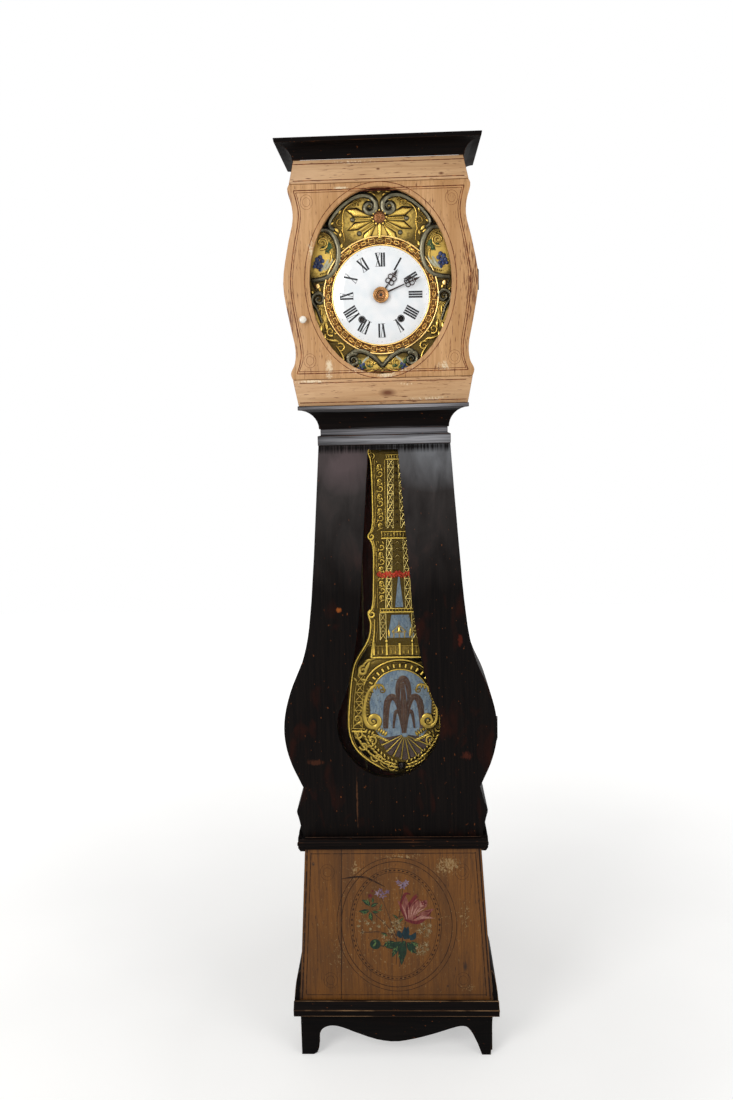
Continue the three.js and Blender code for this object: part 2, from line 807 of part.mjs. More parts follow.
// Dial and hands
function dialSurround() {
  const outline = ellipse(0, ovalZ, surroundHalf, surroundHalfHeight, ovalSides);
  const hole = ellipse(0, dialZ, dialRadius - meanderHeight, dialRadius - meanderHeight, ovalSides);
  const sheet = slab(outline, surroundY, surroundY + surroundSheet, [hole]);
  const inner = dialRadius + seatGap;
  const middle = (inner + meanderOuter) / 2;
  const ring = turnedAlongY(
    [
      [inner, surroundY + surroundSheet / 2],
      [inner, surroundY - meanderHeight],
      [middle, surroundY - surroundReliefHeight],
      [meanderOuter, surroundY - meanderHeight],
      [meanderOuter + meanderHeight, surroundY + surroundSheet / 2],
      [inner, surroundY + surroundSheet / 2],
    ],
    0,
    dialZ,
    ovalSides,
  );
  const bosses = bossPlaceShares.map(([across, up, size]) => {
    const radius = size * surroundHalf;
    const dome = bossShares.map(([out, rise]) => [out * radius, surroundY - rise * surroundReliefHeight]);
    const profile = [...dome, [0, surroundY + surroundSheet / 2]];
    return turnedAlongY(profile, across * surroundHalf, ovalZ + up * surroundHalfHeight, smallSides);
  });
  return join(sheet, ring, ...bosses);
}

function enamelDial() {
  const edgeY = surroundY - seatGap;
  const profile = [];
  const crownAt = (r) => dialCrown * (1 - (r / dialRadius) ** 2);
  for (let i = 0; i <= dialRings; i++) {
    const r = (i / dialRings) * dialRadius;
    profile.push([r, edgeY - dialThickness - crownAt(r)]);
  }
  for (let i = dialRings; i >= 0; i--) {
    const r = (i / dialRings) * dialRadius;
    profile.push([r, edgeY - crownAt(r)]);
  }
  const frontY = edgeY - 2 * dialCrown - cut;
  let dial = turnedAlongY(profile, 0, dialZ, ovalSides);
  dial = dial.subtract(barAlongY(0, dialZ, hourPipeRadius + doorGap, frontY, edgeY + cut));
  for (const side of [-1, 1]) {
    dial = dial.subtract(barAlongY(side * windingX, windingZ, windingHoleRadius, frontY, edgeY + cut));
  }
  return dial;
}

const dialFrontY = surroundY - seatGap - dialThickness - dialCrown;
const hourHandY = dialFrontY - handGap - handThickness;
const minuteHandY = hourHandY - handGap - handThickness;

// A hand that points straight up, turned to its place and moved to the dial's centre
function handBlade(length, angle, frontY) {
  const right = handShares.map(([up, out]) => at(out * handHalfWidth, up * length));
  const outline = [...right, at(0, length), ...mirror(right)];
  const geometry = drawnOut(new THREE.Shape(outline), handThickness);
  geometry.rotateX(Math.PI / 2).translate(0, frontY + handThickness, 0);
  geometry.rotateY(THREE.MathUtils.degToRad(angle)).translate(0, 0, dialZ);
  return solidOf(geometry);
}

function hourHand() {
  const rear = surroundY + surroundSheet + motionGap;
  const wheel = barAlongY(0, dialZ, hourWheelRadius, rear, rear + wheelThickness, hourWheelSides);
  const pipe = barAlongY(0, dialZ, hourPipeRadius, hourHandY, rear + wheelThickness);
  const bore = barAlongY(0, dialZ, arborRadius + pipePlay, hourHandY - cut, rear + wheelThickness + cut);
  return join(handBlade(hourHandLength, hourAngle, hourHandY), pipe, wheel).subtract(bore);
}

function minuteHand() {
  const arbor = barAlongY(0, dialZ, arborRadius, minuteHandY, cageFrontY - barThickness - seatGap);
  const rear = surroundY + surroundSheet + motionGap + wheelThickness + handGap;
  const pinion = barAlongY(0, dialZ, cannonPinionRadius, rear, rear + wheelThickness);
  const foot = minuteHandY + handThickness / 2;
  const rings = colletShares.map(([out, up]) => [out * colletRadius, minuteHandY - up * colletHeight]);
  const collet = turnedAlongY([[0, foot], [colletRadius, foot], ...rings], 0, dialZ, colletSides);
  return join(handBlade(minuteHandLength, minuteAngle, minuteHandY), arbor, pinion, collet);
}

// Movement
function movementCage() {
  const bottom = block([-cageHalf, cageFrontY, cageLowZ], [cageHalf, cageBackY, cageLowZ + cagePlate]);
  const top = block([-cageHalf, cageFrontY, cageTopZ - cagePlate], [cageHalf, cageBackY, cageTopZ]);
  const pieces = [bottom, top];
  for (const side of [-1, 1]) {
    const x = side * (cageHalf - pillarSize / 2);
    for (const y of [cageFrontY, cageBackY - pillarSize]) {
      pieces.push(block([x - pillarSize / 2, y, cageLowZ], [x + pillarSize / 2, y + pillarSize, cageTopZ]));
    }
  }
  for (const x of [-windingX, 0, windingX]) {
    for (const y of [cageFrontY - barThickness, cageBackY]) {
      pieces.push(block([x - barWidth / 2, y, cageLowZ], [x + barWidth / 2, y + barThickness, cageTopZ]));
    }
  }
  for (const z of [secondZ, escapeZ, anchorZ]) {
    for (const y of [cageFrontY - barThickness, cageBackY]) {
      pieces.push(block([-windingX, y, z - barWidth / 2], [windingX, y + barThickness, z + barWidth / 2]));
    }
  }
  // The pillars that carry the dial
  for (const side of [-1, 1]) {
    for (const z of [dialZ + cageAboveDial - pillarSize, dialZ - cageBelowDial + pillarSize]) {
      const x = side * (cageHalf - pillarSize / 2);
      const front = surroundY + surroundSheet + seatGap;
      pieces.push(barAlongY(x, z, pillarSize / 3, front, cageFrontY + pillarSize / 2));
    }
  }
  // The post that the pendulum hangs from
  const postTop = anchorZ + barWidth;
  const post = pillarSize / 2;
  pieces.push(
    block([pendulumX - post, rodY - post, postTop - post], [pendulumX + post, cageFrontY, postTop + post]),
    block(
      [pendulumX - post, cageFrontY - barThickness, postTop - post],
      [pendulumX + post, cageFrontY + post, cageTopZ],
    ),
  );
  const arbors = [
    [windingX, windingZ, barrelArborRadius],
    [-windingX, windingZ, barrelArborRadius],
    [pendulumX, secondZ, arborRadius],
    [-pendulumX, secondZ, arborRadius],
    [pendulumX, escapeZ, arborRadius],
    [pendulumX, anchorZ, arborRadius],
  ];
  let cage = join(...pieces);
  for (const side of [-1, 1]) {
    const plateTop = cageLowZ + cagePlate;
    cage = cage.subtract(barAlongZ(side * weightX, weightY, ropeHoleRadius, cageLowZ - cut, plateTop + cut));
  }
  const frontY = cageFrontY - cut - barThickness;
  const rearY = cageBackY + cut + barThickness;
  for (const [x, z, radius] of arbors) {
    cage = cage.subtract(barAlongY(x, z, radius + pipePlay, frontY, rearY));
  }
  return cage;
}

// A toothed wheel in the XZ plane, with its first tooth at the given angle
function gear(teeth, pitchRadius, x, z, frontY, thickness, startAngle) {
  const step = (2 * Math.PI) / teeth;
  const root = pitchRadius - toothHeight / 2;
  const tip = pitchRadius + toothHeight / 2;
  const outline = [];
  for (let i = 0; i < 2 * teeth; i++) {
    const radius = i % 2 ? root : tip;
    const angle = startAngle + (i / 2) * step;
    outline.push(at(x + radius * Math.cos(angle), z + radius * Math.sin(angle)));
  }
  return slab(outline, frontY, frontY + thickness);
}

// The openings between a wheel's spokes
function crossings(pitchRadius, x, z, frontY, thickness) {
  const outer = pitchRadius - 3 * toothHeight;
  const inner = hubRadius + toothHeight;
  const spread = Math.PI / spokes - spokeHalfAngle;
  const windows = [];
  for (let i = 0; i < spokes; i++) {
    const middle = ((i + 1 / 2) / spokes) * 2 * Math.PI;
    const outline = crossingShares.map(([out, along]) => {
      const radius = THREE.MathUtils.lerp(inner, outer, out);
      const angle = middle + along * spread;
      return at(x + radius * Math.cos(angle), z + radius * Math.sin(angle));
    });
    windows.push(slab(outline, frontY - cut, frontY + thickness + cut));
  }
  return join(...windows);
}

function wheelOnArbor({ teeth, radius, x, z, frontY, startAngle, pinionAngle, pinionY, bore }) {
  const wheel = gear(teeth, radius, x, z, frontY, wheelThickness, startAngle).subtract(
    crossings(radius, x, z, frontY, wheelThickness),
  );
  const hub = barAlongY(x, z, hubRadius, frontY - wheelThickness, frontY + 2 * wheelThickness);
  if (bore) {
    const hole = barAlongY(x, z, bore, frontY - cut - wheelThickness, frontY + cut + 2 * wheelThickness);
    return join(wheel, hub).subtract(hole);
  }
  const arbor = barAlongY(x, z, arborRadius, cageFrontY - barThickness / 2, cageBackY + barThickness / 2);
  const pieces = [wheel, hub, arbor];
  if (pinionY !== undefined) {
    pieces.push(gear(pinionLeaves, pinionRadius, x, z, pinionY, 3 * wheelThickness, pinionAngle));
  }
  return join(...pieces);
}

const greatY = cageBackY - greatWheelInset;
const secondY = {
  going: greatY - barrelLength - goingWheelAhead,
  strike: greatY - barrelLength - strikeWheelAhead,
};
const escapeY = cageFrontY + escapeDepth;

// The wheel that drives has a gap where the pinion has a leaf
const meshAngle = (fromX, fromZ, toX, toZ) => Math.atan2(toZ - fromZ, toX - fromX);

function greatWheel(side) {
  const angle = meshAngle(side * windingX, windingZ, side * pendulumX, secondZ);
  return wheelOnArbor({
    teeth: greatTeeth,
    radius: greatRadius,
    x: side * windingX,
    z: windingZ,
    frontY: greatY,
    startAngle: angle + Math.PI / greatTeeth,
    bore: barrelArborRadius + pipePlay,
  });
}

function secondWheel(side, frontY) {
  const down = meshAngle(side * pendulumX, secondZ, side * windingX, windingZ);
  return wheelOnArbor({
    teeth: secondTeeth,
    radius: secondRadius,
    x: side * pendulumX,
    z: secondZ,
    frontY,
    startAngle: Math.PI / 2 + Math.PI / secondTeeth,
    pinionAngle: down,
    pinionY: greatY - wheelThickness,
  });
}

function escapeWheel() {
  return wheelOnArbor({
    teeth: escapeTeeth,
    radius: escapeRadius,
    x: pendulumX,
    z: escapeZ,
    frontY: escapeY,
    startAngle: Math.PI / 2 + Math.PI / escapeTeeth,
    pinionAngle: -Math.PI / 2,
    pinionY: secondY.going - wheelThickness,
  });
}

function barrel(side) {
  const x = side * windingX;
  const drumLow = greatY - wheelThickness * 2 - barrelLength;
  const flange = barrelRadius + ropeRadius;
  const profile = [
    [0, drumLow],
    [flange, drumLow],
    [flange, drumLow + wheelThickness],
    [barrelRadius - ropeRadius, drumLow + wheelThickness],
    [barrelRadius - ropeRadius, drumLow + barrelLength - wheelThickness],
    [flange, drumLow + barrelLength - wheelThickness],
    [flange, drumLow + barrelLength],
    [0, drumLow + barrelLength],
  ];
  const drum = turnedAlongY(profile, x, windingZ, drumSides);
  const arbor = barAlongY(x, windingZ, barrelArborRadius, surroundY - dialCrown, cageBackY + barThickness / 2);
  const square = barrelArborRadius * squareShare;
  const front = surroundY - dialCrown - dialThickness / 2;
  const winder = block(
    [x - square, front, windingZ - square],
    [x + square, front + squareLength, windingZ + square],
  );
  return join(drum, arbor, winder);
}

function anchorCrutch() {
  const crutchY = cageFrontY - barThickness - crutchThickness - seatGap;
  const arbor = barAlongY(pendulumX, anchorZ, arborRadius, crutchY, cageBackY + barThickness / 2);
  const clear = escapeRadius + toothHeight / 2 + palletGap;
  const reach = escapeRadius * palletReachShare;
  const palletZ = escapeZ + Math.sqrt(clear ** 2 - reach ** 2);
  const right = anchorShares.map(([out, up]) => at(out * reach, THREE.MathUtils.lerp(palletZ, anchorZ, up)));
  const outline = shifted([...right, ...mirror(right).slice(0, -1)], pendulumX);
  const anchor = slab(outline, escapeY, escapeY + wheelThickness);
  const crutchBack = crutchY + crutchThickness;
  const crutchLow = anchorZ - crutchLength;
  const forkTop = crutchLow + crutchThickness;
  const crutch = block(
    [pendulumX - arborRadius, crutchY, crutchLow],
    [pendulumX + arborRadius, crutchBack, anchorZ + arborRadius],
  );
  const play = rodRadius + seatGap * 2;
  const reachOut = play + crutchThickness;
  const fork = [-reachOut, play].map((from) => {
    const prongX = pendulumX + from;
    return block([prongX, rodY - rodRadius, crutchLow], [prongX + crutchThickness, crutchBack, forkTop]);
  });
  const yoke = block([pendulumX - reachOut, crutchY, crutchLow], [pendulumX + reachOut, crutchBack, forkTop]);
  return join(arbor, anchor, crutch, yoke, ...fork);
}

function bell() {
  const lowZ = cageTopZ + bellClearance;
  const topBell = lowZ + bellHeight;
  const dome = (radius, height) => {
    const points = [];
    for (let i = 0; i < domeRings; i++) {
      const angle = (i / domeRings) * (Math.PI / 2);
      points.push([radius * Math.cos(angle), lowZ + height * Math.sin(angle)]);
    }
    return [...points, [0, lowZ + height]];
  };
  const inner = dome(bellRadius - bellWall, bellHeight - bellWall);
  const wall = [...inner.reverse(), ...dome(bellRadius, bellHeight)];
  const stand = barAlongZ(bellX, bellY, arborRadius, cageTopZ + seatGap, topBell + barThickness, barSides);
  const nut = barAlongZ(bellX, bellY, arborRadius * 2, topBell, topBell + barThickness, nutSides);
  return join(turned(wall, bellX, bellY, bellSides), stand, nut);
}

const hammerX = bellX - bellRadius - hammerReach;
const hammerPivotZ = cageTopZ + pillarSize / 2 + doorGap;

function hammer() {
  const headZ = cageTopZ + bellClearance + hammerRise;
  const headX = bellX - bellRadius - hammerGap;
  const head = solidOf(
    new THREE.CylinderGeometry(hammerRadius, hammerRadius, hammerLength, smallSides)
      .rotateZ(Math.PI / 2)
      .translate(headX - hammerLength / 2, bellY, headZ),
  );
  const half = hammerArm / 2;
  const headTop = headZ + half;
  const arm = block([hammerX - half, bellY - half, hammerPivotZ], [hammerX + half, bellY + half, headTop]);
  const neck = block(
    [hammerX - half, bellY - half, headZ - half],
    [headX - hammerLength + half, bellY + half, headTop],
  );
  const pivotFront = bellY - hammerHalfSpan;
  const pivotRear = bellY + hammerHalfSpan;
  const pivot = barAlongY(hammerX, hammerPivotZ, barrelArborRadius, pivotFront, pivotRear);
  return join(head, arm, neck, pivot);
}

function hammerCock() {
  return [-1, 1].map((side) => {
    const near = side * (hammerHalfSpan + seatGap);
    const far = near + side * barThickness;
    return block(
      [hammerX - pillarSize / 2, bellY + Math.min(near, far), cageTopZ - cagePlate / 2],
      [hammerX + pillarSize / 2, bellY + Math.max(near, far), hammerPivotZ + pillarSize / 2],
    );
  });
}

function seatBoard() {
  const half = seatBoardHalfShare * hoodWidestHalf - sideBoard - seatGap;
  const low = cageLowZ - seatBoardThickness;
  const board = block([-half, cageFrontY, low], [half, backBoardY, cageLowZ]);
  const holes = [-1, 1].map((side) =>
    barAlongZ(side * weightX, weightY, ropeHoleRadius, low - cut, cageLowZ + cut),
  );
  return holes.reduce((solid, hole) => solid.subtract(hole), board);
}

// Pendulum
function pendulumRod() {
  const stripTop = anchorZ + barWidth - pillarSize / 2 - seatGap;
  const stripLow = anchorZ - springReach;
  const across = springWidth / 2;
  const thick = springThickness / 2;
  const headLow = stripLow - clipHeight;
  const spring = block(
    [pendulumX - across, rodY - thick, headLow],
    [pendulumX + across, rodY + thick, stripTop],
  );
  const head = block(
    [pendulumX - across - seatGap, rodY - rodRadius, headLow],
    [pendulumX + across + seatGap, rodY + rodRadius, stripLow],
  );
  const rod = barAlongZ(pendulumX, rodY, rodRadius, pendulumLowZ, headLow + clipHeight / 2, barSides);
  const nut = barAlongZ(pendulumX, rodY, nutRadius, nutZ - nutHeight / 2, nutZ + nutHeight / 2);
  const sheetBack = sheetY + sheetThickness + seatGap;
  const clips = [pendulumTopZ - clipHeight * 2, pendulumLowZ + pendulumHalf].map((low) =>
    block([pendulumX - nutRadius, sheetBack, low], [pendulumX + nutRadius, rodY, low + clipHeight]),
  );
  return join(spring, head, rod, nut, ...clips);
}

function pendulumFront() {
  const height = pendulumTopZ - pendulumLowZ;
  const right = edge(pendulumShares, pendulumHalf, pendulumLowZ, height, pendulumSteps);
  const outline = shifted(bothSides(right), pendulumX);
  const sheet = slab(outline, sheetY, sheetY + sheetThickness);
  const reliefY = sheetY - sheetThickness * 2;
  const seatY = sheetY + sheetThickness / 2;
  const fieldEdge = right
    .filter((p) => p.y < pendulumLowZ + height * fieldTopShare)
    .map((p) => at(p.x * fieldWidthShare, p.y + height * fieldRiseShare));
  const field = slab(shifted(bothSides(fieldEdge), pendulumX), reliefY, seatY);
  const shaftHalf = pendulumHalf * shaftWidthShare;
  const shaft = block(
    [pendulumX - shaftHalf, reliefY, pendulumLowZ + height * shaftLowShare],
    [pendulumX + shaftHalf, seatY, pendulumTopZ - clipHeight],
  );
  const windowHalf = nutRadius + nutWindowMargin;
  const windowRise = nutHeight / 2 + nutWindowMargin;
  const nutWindow = block(
    [pendulumX - windowHalf, sheetY - cut, nutZ - windowRise],
    [pendulumX + windowHalf, sheetY + cut, nutZ + windowRise],
  );
  return join(sheet, field, shaft).subtract(nutWindow);
}

// Weights and ropes
function weight(side) {
  const top = weightLowZ + weightHeight;
  const profile = [
    [0, weightLowZ],
    [weightRadius - weightChamfer, weightLowZ],
    [weightRadius, weightLowZ + weightChamfer],
    [weightRadius, top - weightShoulder],
    [weightRadius - weightShoulder, top],
    [weightNeck, top],
    [weightNeck / 2, top + weightEye / 2],
    [weightNeck / 2, top + weightEye],
    [0, top + weightEye],
  ];
  return turned(profile, side * weightX, weightY, drumSides);
}

function rope(side) {
  const eyeTop = weightLowZ + weightHeight + weightEye;
  return barAlongZ(side * weightX, weightY, ropeRadius, eyeTop + seatGap, windingZ, ropeSides);
}

// Assembly
const clock = new THREE.Group();
const base = new THREE.Group();
const trunk = new THREE.Group();
const hood = new THREE.Group();
const movement = new THREE.Group();
const drive = new THREE.Group();
clock.add(base, trunk, hood, movement, drive);

const plinthRight = plinthSide();
node(base, "plinth_apron_front", "darkPaint", plinthFront());
node(base, "plinth_apron_right", "darkPaint", plinthRight);
node(base, "plinth_apron_left", "darkPaint", flip(plinthRight));
node(base, "base_moulding_front", "darkPaint", baseMouldingFront());
node(base, "base_moulding_right", "darkPaint", baseMouldingSide());
node(base, "base_moulding_left", "darkPaint", flip(baseMouldingSide()));
const [narrowBoard, wideBoard] = baseFrontBoards();
node(base, "base_front_narrow_board", "basePine", narrowBoard);
node(base, "base_front_wide_board", "basePine", wideBoard);
node(base, "base_side_right", "basePine", baseSide());
node(base, "base_side_left", "basePine", flip(baseSide()));
node(base, "waist_moulding_front", "darkPaint", waistMouldingFront());
node(base, "waist_moulding_right", "darkPaint", waistMouldingSide());
node(base, "waist_moulding_left", "darkPaint", flip(waistMouldingSide()));

const trunkSideOutline = strip([...trunkEdge, ...neckEdge], sideBoard);
const plainTrunkSide = slab(trunkSideOutline, trunkBoxY, backBoardY);
node(trunk, "trunk_side_right", "darkPaint", plainTrunkSide.subtract(hingeRecess(trunkHinge)));
node(trunk, "trunk_side_left", "darkPaint", flip(plainTrunkSide));
node(trunk, "case_back", "rawPine", caseBack());
node(trunk, "trunk_door", "darkPaint", trunkDoor());
const [lowerPane, upperPane] = trunkPanes();
node(trunk, "trunk_glass_lower", "glass", lowerPane);
node(trunk, "trunk_glass_upper", "glass", upperPane);
node(trunk, "trunk_case_hinge_leaf", "blackIron", hingeLeaf(trunkHinge, false));
node(trunk, "trunk_door_hinge_leaf", "blackIron", hingeLeaf(trunkHinge, true));
node(trunk, "neck_rail", "darkPaint", neckRail());
const neckSet = mouldingSet(neckProfile, neckHalf, trunkFrontY, neckMouldingZ);
node(trunk, "neck_moulding_front", "darkPaint", neckSet.front);
node(trunk, "neck_moulding_right", "darkPaint", neckSet.right);
node(trunk, "neck_moulding_left", "darkPaint", neckSet.left);

const railLow = [at(hoodLowHalf, hoodZ), hoodDoorEdge[0]];
const railTop = [hoodDoorEdge.at(-1), at(hoodTopHalf, corniceZ)];
node(hood, "hood_bottom_rail", "hoodPine", slab(bothSides(railLow), hoodFrontY, hoodBoxY));
node(hood, "hood_top_rail", "hoodPine", slab(bothSides(railTop), hoodFrontY, hoodBoxY));
const plainHoodSide = slab(strip(hoodEdge, sideBoard), hoodBoxY, backBoardY);
node(hood, "hood_side_right", "hoodPine", plainHoodSide.subtract(hingeRecess(hoodHinge)));
node(hood, "hood_side_left", "hoodPine", flip(plainHoodSide));
node(hood, "hood_roof", "rawPine", hoodRoof());
const corniceSet = mouldingSet(corniceProfile, hoodTopHalf, hoodFrontY, corniceZ);
node(hood, "cornice_front", "darkPaint", corniceSet.front);
node(hood, "cornice_right", "darkPaint", corniceSet.right);
node(hood, "cornice_left", "darkPaint", corniceSet.left);
node(hood, "hood_door", "hoodPine", hoodDoor());
node(hood, "hood_glass", "glass", hoodGlass());
node(hood, "hood_knob", "porcelain", hoodKnob());
node(hood, "hood_case_hinge_leaf", "blackIron", hingeLeaf(hoodHinge, false));
node(hood, "hood_door_hinge_leaf", "blackIron", hingeLeaf(hoodHinge, true));

node(movement, "seat_board", "rawPine", seatBoard());
node(movement, "movement_cage", "blackIron", join(movementCage(), ...hammerCock()));
node(movement, "dial_surround", "brass", dialSurround());
node(movement, "enamel_dial", "enamel", enamelDial());
node(movement, "hour_hand", "blueSteel", hourHand());
node(movement, "minute_hand", "blueSteel", minuteHand());
node(movement, "going_barrel", "brass", barrel(1));
node(movement, "strike_barrel", "brass", barrel(-1));
node(movement, "going_great_wheel", "brass", greatWheel(1));
node(movement, "strike_great_wheel", "brass", greatWheel(-1));
node(movement, "going_second_wheel", "brass", secondWheel(1, secondY.going));
node(movement, "strike_pin_wheel", "brass", secondWheel(-1, secondY.strike));
node(movement, "escape_wheel", "brass", escapeWheel());
node(movement, "anchor_crutch", "blackIron", anchorCrutch());
node(movement, "bell", "bellMetal", bell());
node(movement, "hammer", "blackIron", hammer());

node(drive, "pendulum_rod", "blackIron", pendulumRod());
node(drive, "pendulum_front", "brass", pendulumFront());
node(drive, "going_weight", "castIron", weight(1));
node(drive, "strike_weight", "castIron", weight(-1));
node(drive, "going_rope", "hemp", rope(1));
node(drive, "strike_rope", "hemp", rope(-1));

export default clock;
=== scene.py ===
# %% [markdown]
# # A pear-waisted longcase clock
# The clock is a tall pine case on a plinth: a slanted base with a painted bouquet, a bulging trunk that is
# painted almost black, and a hood in light pine with an oval window. Behind the window an enamel dial sits in
# embossed brass, and an embossed brass pendulum shows through the opening of the trunk door.
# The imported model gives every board, wheel and joint. This lesson adds the looks, piece by piece.

# %% Load the frame
import json
import math

import bmesh
import bpy
from mathutils import Matrix, Vector

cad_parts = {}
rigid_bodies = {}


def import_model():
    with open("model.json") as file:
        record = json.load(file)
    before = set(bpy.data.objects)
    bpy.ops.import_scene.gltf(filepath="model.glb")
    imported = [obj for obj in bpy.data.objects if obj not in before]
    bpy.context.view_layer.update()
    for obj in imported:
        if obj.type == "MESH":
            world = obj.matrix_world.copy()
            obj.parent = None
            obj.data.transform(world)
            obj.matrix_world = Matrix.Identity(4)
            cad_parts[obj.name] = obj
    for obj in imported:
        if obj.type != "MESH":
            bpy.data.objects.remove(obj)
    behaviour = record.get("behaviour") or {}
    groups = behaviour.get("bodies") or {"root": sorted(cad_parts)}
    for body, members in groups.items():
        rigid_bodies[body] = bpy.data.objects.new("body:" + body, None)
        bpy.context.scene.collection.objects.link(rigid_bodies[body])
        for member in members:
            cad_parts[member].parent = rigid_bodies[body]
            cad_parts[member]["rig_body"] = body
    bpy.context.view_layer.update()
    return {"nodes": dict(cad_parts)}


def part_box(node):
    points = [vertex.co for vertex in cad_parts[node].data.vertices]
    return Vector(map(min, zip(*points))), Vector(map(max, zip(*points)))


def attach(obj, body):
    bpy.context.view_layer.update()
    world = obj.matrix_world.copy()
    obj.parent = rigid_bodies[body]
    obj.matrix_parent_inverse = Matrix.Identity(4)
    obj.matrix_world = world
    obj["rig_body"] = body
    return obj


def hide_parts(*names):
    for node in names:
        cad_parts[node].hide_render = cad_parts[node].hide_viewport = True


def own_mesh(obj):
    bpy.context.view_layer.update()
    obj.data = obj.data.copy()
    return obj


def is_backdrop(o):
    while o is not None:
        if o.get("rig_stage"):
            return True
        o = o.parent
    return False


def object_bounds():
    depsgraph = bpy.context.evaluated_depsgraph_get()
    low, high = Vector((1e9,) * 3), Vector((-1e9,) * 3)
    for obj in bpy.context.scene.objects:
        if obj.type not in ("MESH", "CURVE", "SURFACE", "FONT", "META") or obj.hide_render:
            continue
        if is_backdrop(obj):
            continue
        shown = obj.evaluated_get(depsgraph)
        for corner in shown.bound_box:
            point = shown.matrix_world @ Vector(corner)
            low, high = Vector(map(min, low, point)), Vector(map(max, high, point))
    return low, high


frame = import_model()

nodes = frame["nodes"]

# %% [markdown]
# ## The camera
# The photograph was taken from 2.4 m in front of the clock, at eye height, tipped down a little and turned by
# a degree and a half. Placing and turning the camera by numbers, fitted to the outline of the case, repeats
# that view exactly. Aiming it by eye would not.

# %% Place the camera
camera_place = (0.05, -2.4713, 1.757)
lens_mm, sensor_mm = 31.18, 36
yaw, pitch, roll = (math.radians(angle) for angle in (2.40, -8.16, 1.40))
forward = Vector((-math.sin(yaw) * math.cos(pitch), math.cos(yaw) * math.cos(pitch), math.sin(pitch)))
level_right = Vector((math.cos(yaw), math.sin(yaw), 0))
level_down = forward.cross(level_right)
image_right = math.cos(roll) * level_right + math.sin(roll) * level_down
image_down = math.cos(roll) * level_down - math.sin(roll) * level_right
camera = bpy.data.objects.new("camera", bpy.data.cameras.new("camera"))
camera.data.sensor_width = sensor_mm
camera.data.lens = lens_mm
turn = Matrix((image_right, -image_down, -forward)).transposed().to_4x4()
camera.matrix_world = Matrix.Translation(camera_place) @ turn
bpy.context.scene.collection.objects.link(camera)
bpy.context.scene.camera = camera
print("camera at", [round(c, 3) for c in camera.location])

# %% [markdown]
# ## Colours and nodes
# A colour is easiest to read as an sRGB hex code, but Blender's shaders work in linear light, so one function
# turns one into the other. A second one adds a shader node, sets it and links it, so that a material becomes a
# short list of lines.

# %% One colour, one node
def linear(code):
    """An sRGB hex colour as linear values."""
    values = [int(code[i : i + 2], 16) / 255 for i in (1, 3, 5)]
    return [v / 12.92 if v <= 0.04045 else ((v + 0.055) / 1.055) ** 2.4 for v in values] + [1.0]


def add_node(tree, kind, inputs, **settings):
    """Adds a node and returns its first output. An input takes a number, a hex colour or another output."""
    node = tree.nodes.new(kind)
    for name, value in settings.items():
        setattr(node, name, value)
    for name, value in inputs.items():
        if isinstance(value, bpy.types.NodeSocket):
            tree.links.new(value, node.inputs[name])
        else:
            node.inputs[name].default_value = linear(value) if isinstance(value, str) else value
    return next(output for output in node.outputs if output.enabled)


print("mid grey is", round(linear("#808080")[0], 3), "in linear light")

# %% [markdown]
# ## Finishes in layers
# A painter lays a ground, then glazes, then wear. The helpers below work the same way: a colour lies over
# what is below it wherever a mask is high. Masks come from noise that is drawn out along the wood, or from
# a soft spot at a place where the real clock is rubbed, or where a sheen or a shade is painted in. All of them
# read Object coordinates, which here are metres in the clock's own frame, so a grain of 7 mm is written as
# 0.007.

# %% Layers, grain and worn spots
def new_finish(name, roughness, metallic=0.0, **sockets):
    """A material, its tree, its shader and its place in metres."""
    material = bpy.data.materials.new(name)
    material.use_nodes = True
    tree = material.node_tree
    shader = tree.nodes["Principled BSDF"]
    for socket, value in {"Roughness": roughness, "Metallic": metallic, **sockets}.items():
        shader.inputs[socket].default_value = linear(value) if isinstance(value, str) else value
    coordinates = tree.nodes.new("ShaderNodeTexCoord")
    return material, tree, shader, coordinates.outputs["Object"]


def grain(tree, place, cells, detail=3.0, distortion=0.0):
    """Noise whose cells measure so many metres along X, Y and Z."""
    mapped = add_node(tree, "ShaderNodeMapping", {"Vector": place, "Scale": [1 / cell for cell in cells]})
    inputs = {"Vector": mapped, "Scale": 1.0, "Detail": detail, "Distortion": distortion}
    return add_node(tree, "ShaderNodeTexNoise", inputs)


def soft_spot(tree, place, centre, size, broken_by):
    """A soft patch about a place (x, z), broken up by a grain."""
    inputs = {
        "Vector": place,
        "Location": (-centre[0] / size[0], 0, -centre[1] / size[1]),
        "Scale": (1 / size[0], 0, 1 / size[1]),
    }
    mapped = add_node(tree, "ShaderNodeMapping", inputs)
    soft = add_node(tree, "ShaderNodeTexGradient", {"Vector": mapped}, gradient_type="SPHERICAL")
    return add_node(tree, "ShaderNodeMath", {0: soft, 1: broken_by}, operation="MULTIPLY")


def layer(tree, below, colour, mask, low, high):
    """Lays a colour over what is below, from nothing where the mask is low to all where it is high."""
    share = add_node(tree, "ShaderNodeMapRange", {"Value": mask, "From Min": low, "From Max": high})
    return add_node(tree, "ShaderNodeMix", {0: share, 6: below, 7: colour}, data_type="RGBA")


def surface(tree, shader, colour, height, depth):
    """Gives the shader its colour and a relief of so many metres."""
    tree.links.new(colour, shader.inputs["Base Color"])
    if height is not None:
        relief = add_node(tree, "ShaderNodeBump", {"Height": height, "Strength": 0.6, "Distance": depth})
        tree.links.new(relief, shader.inputs["Normal"])


print("layers ready")

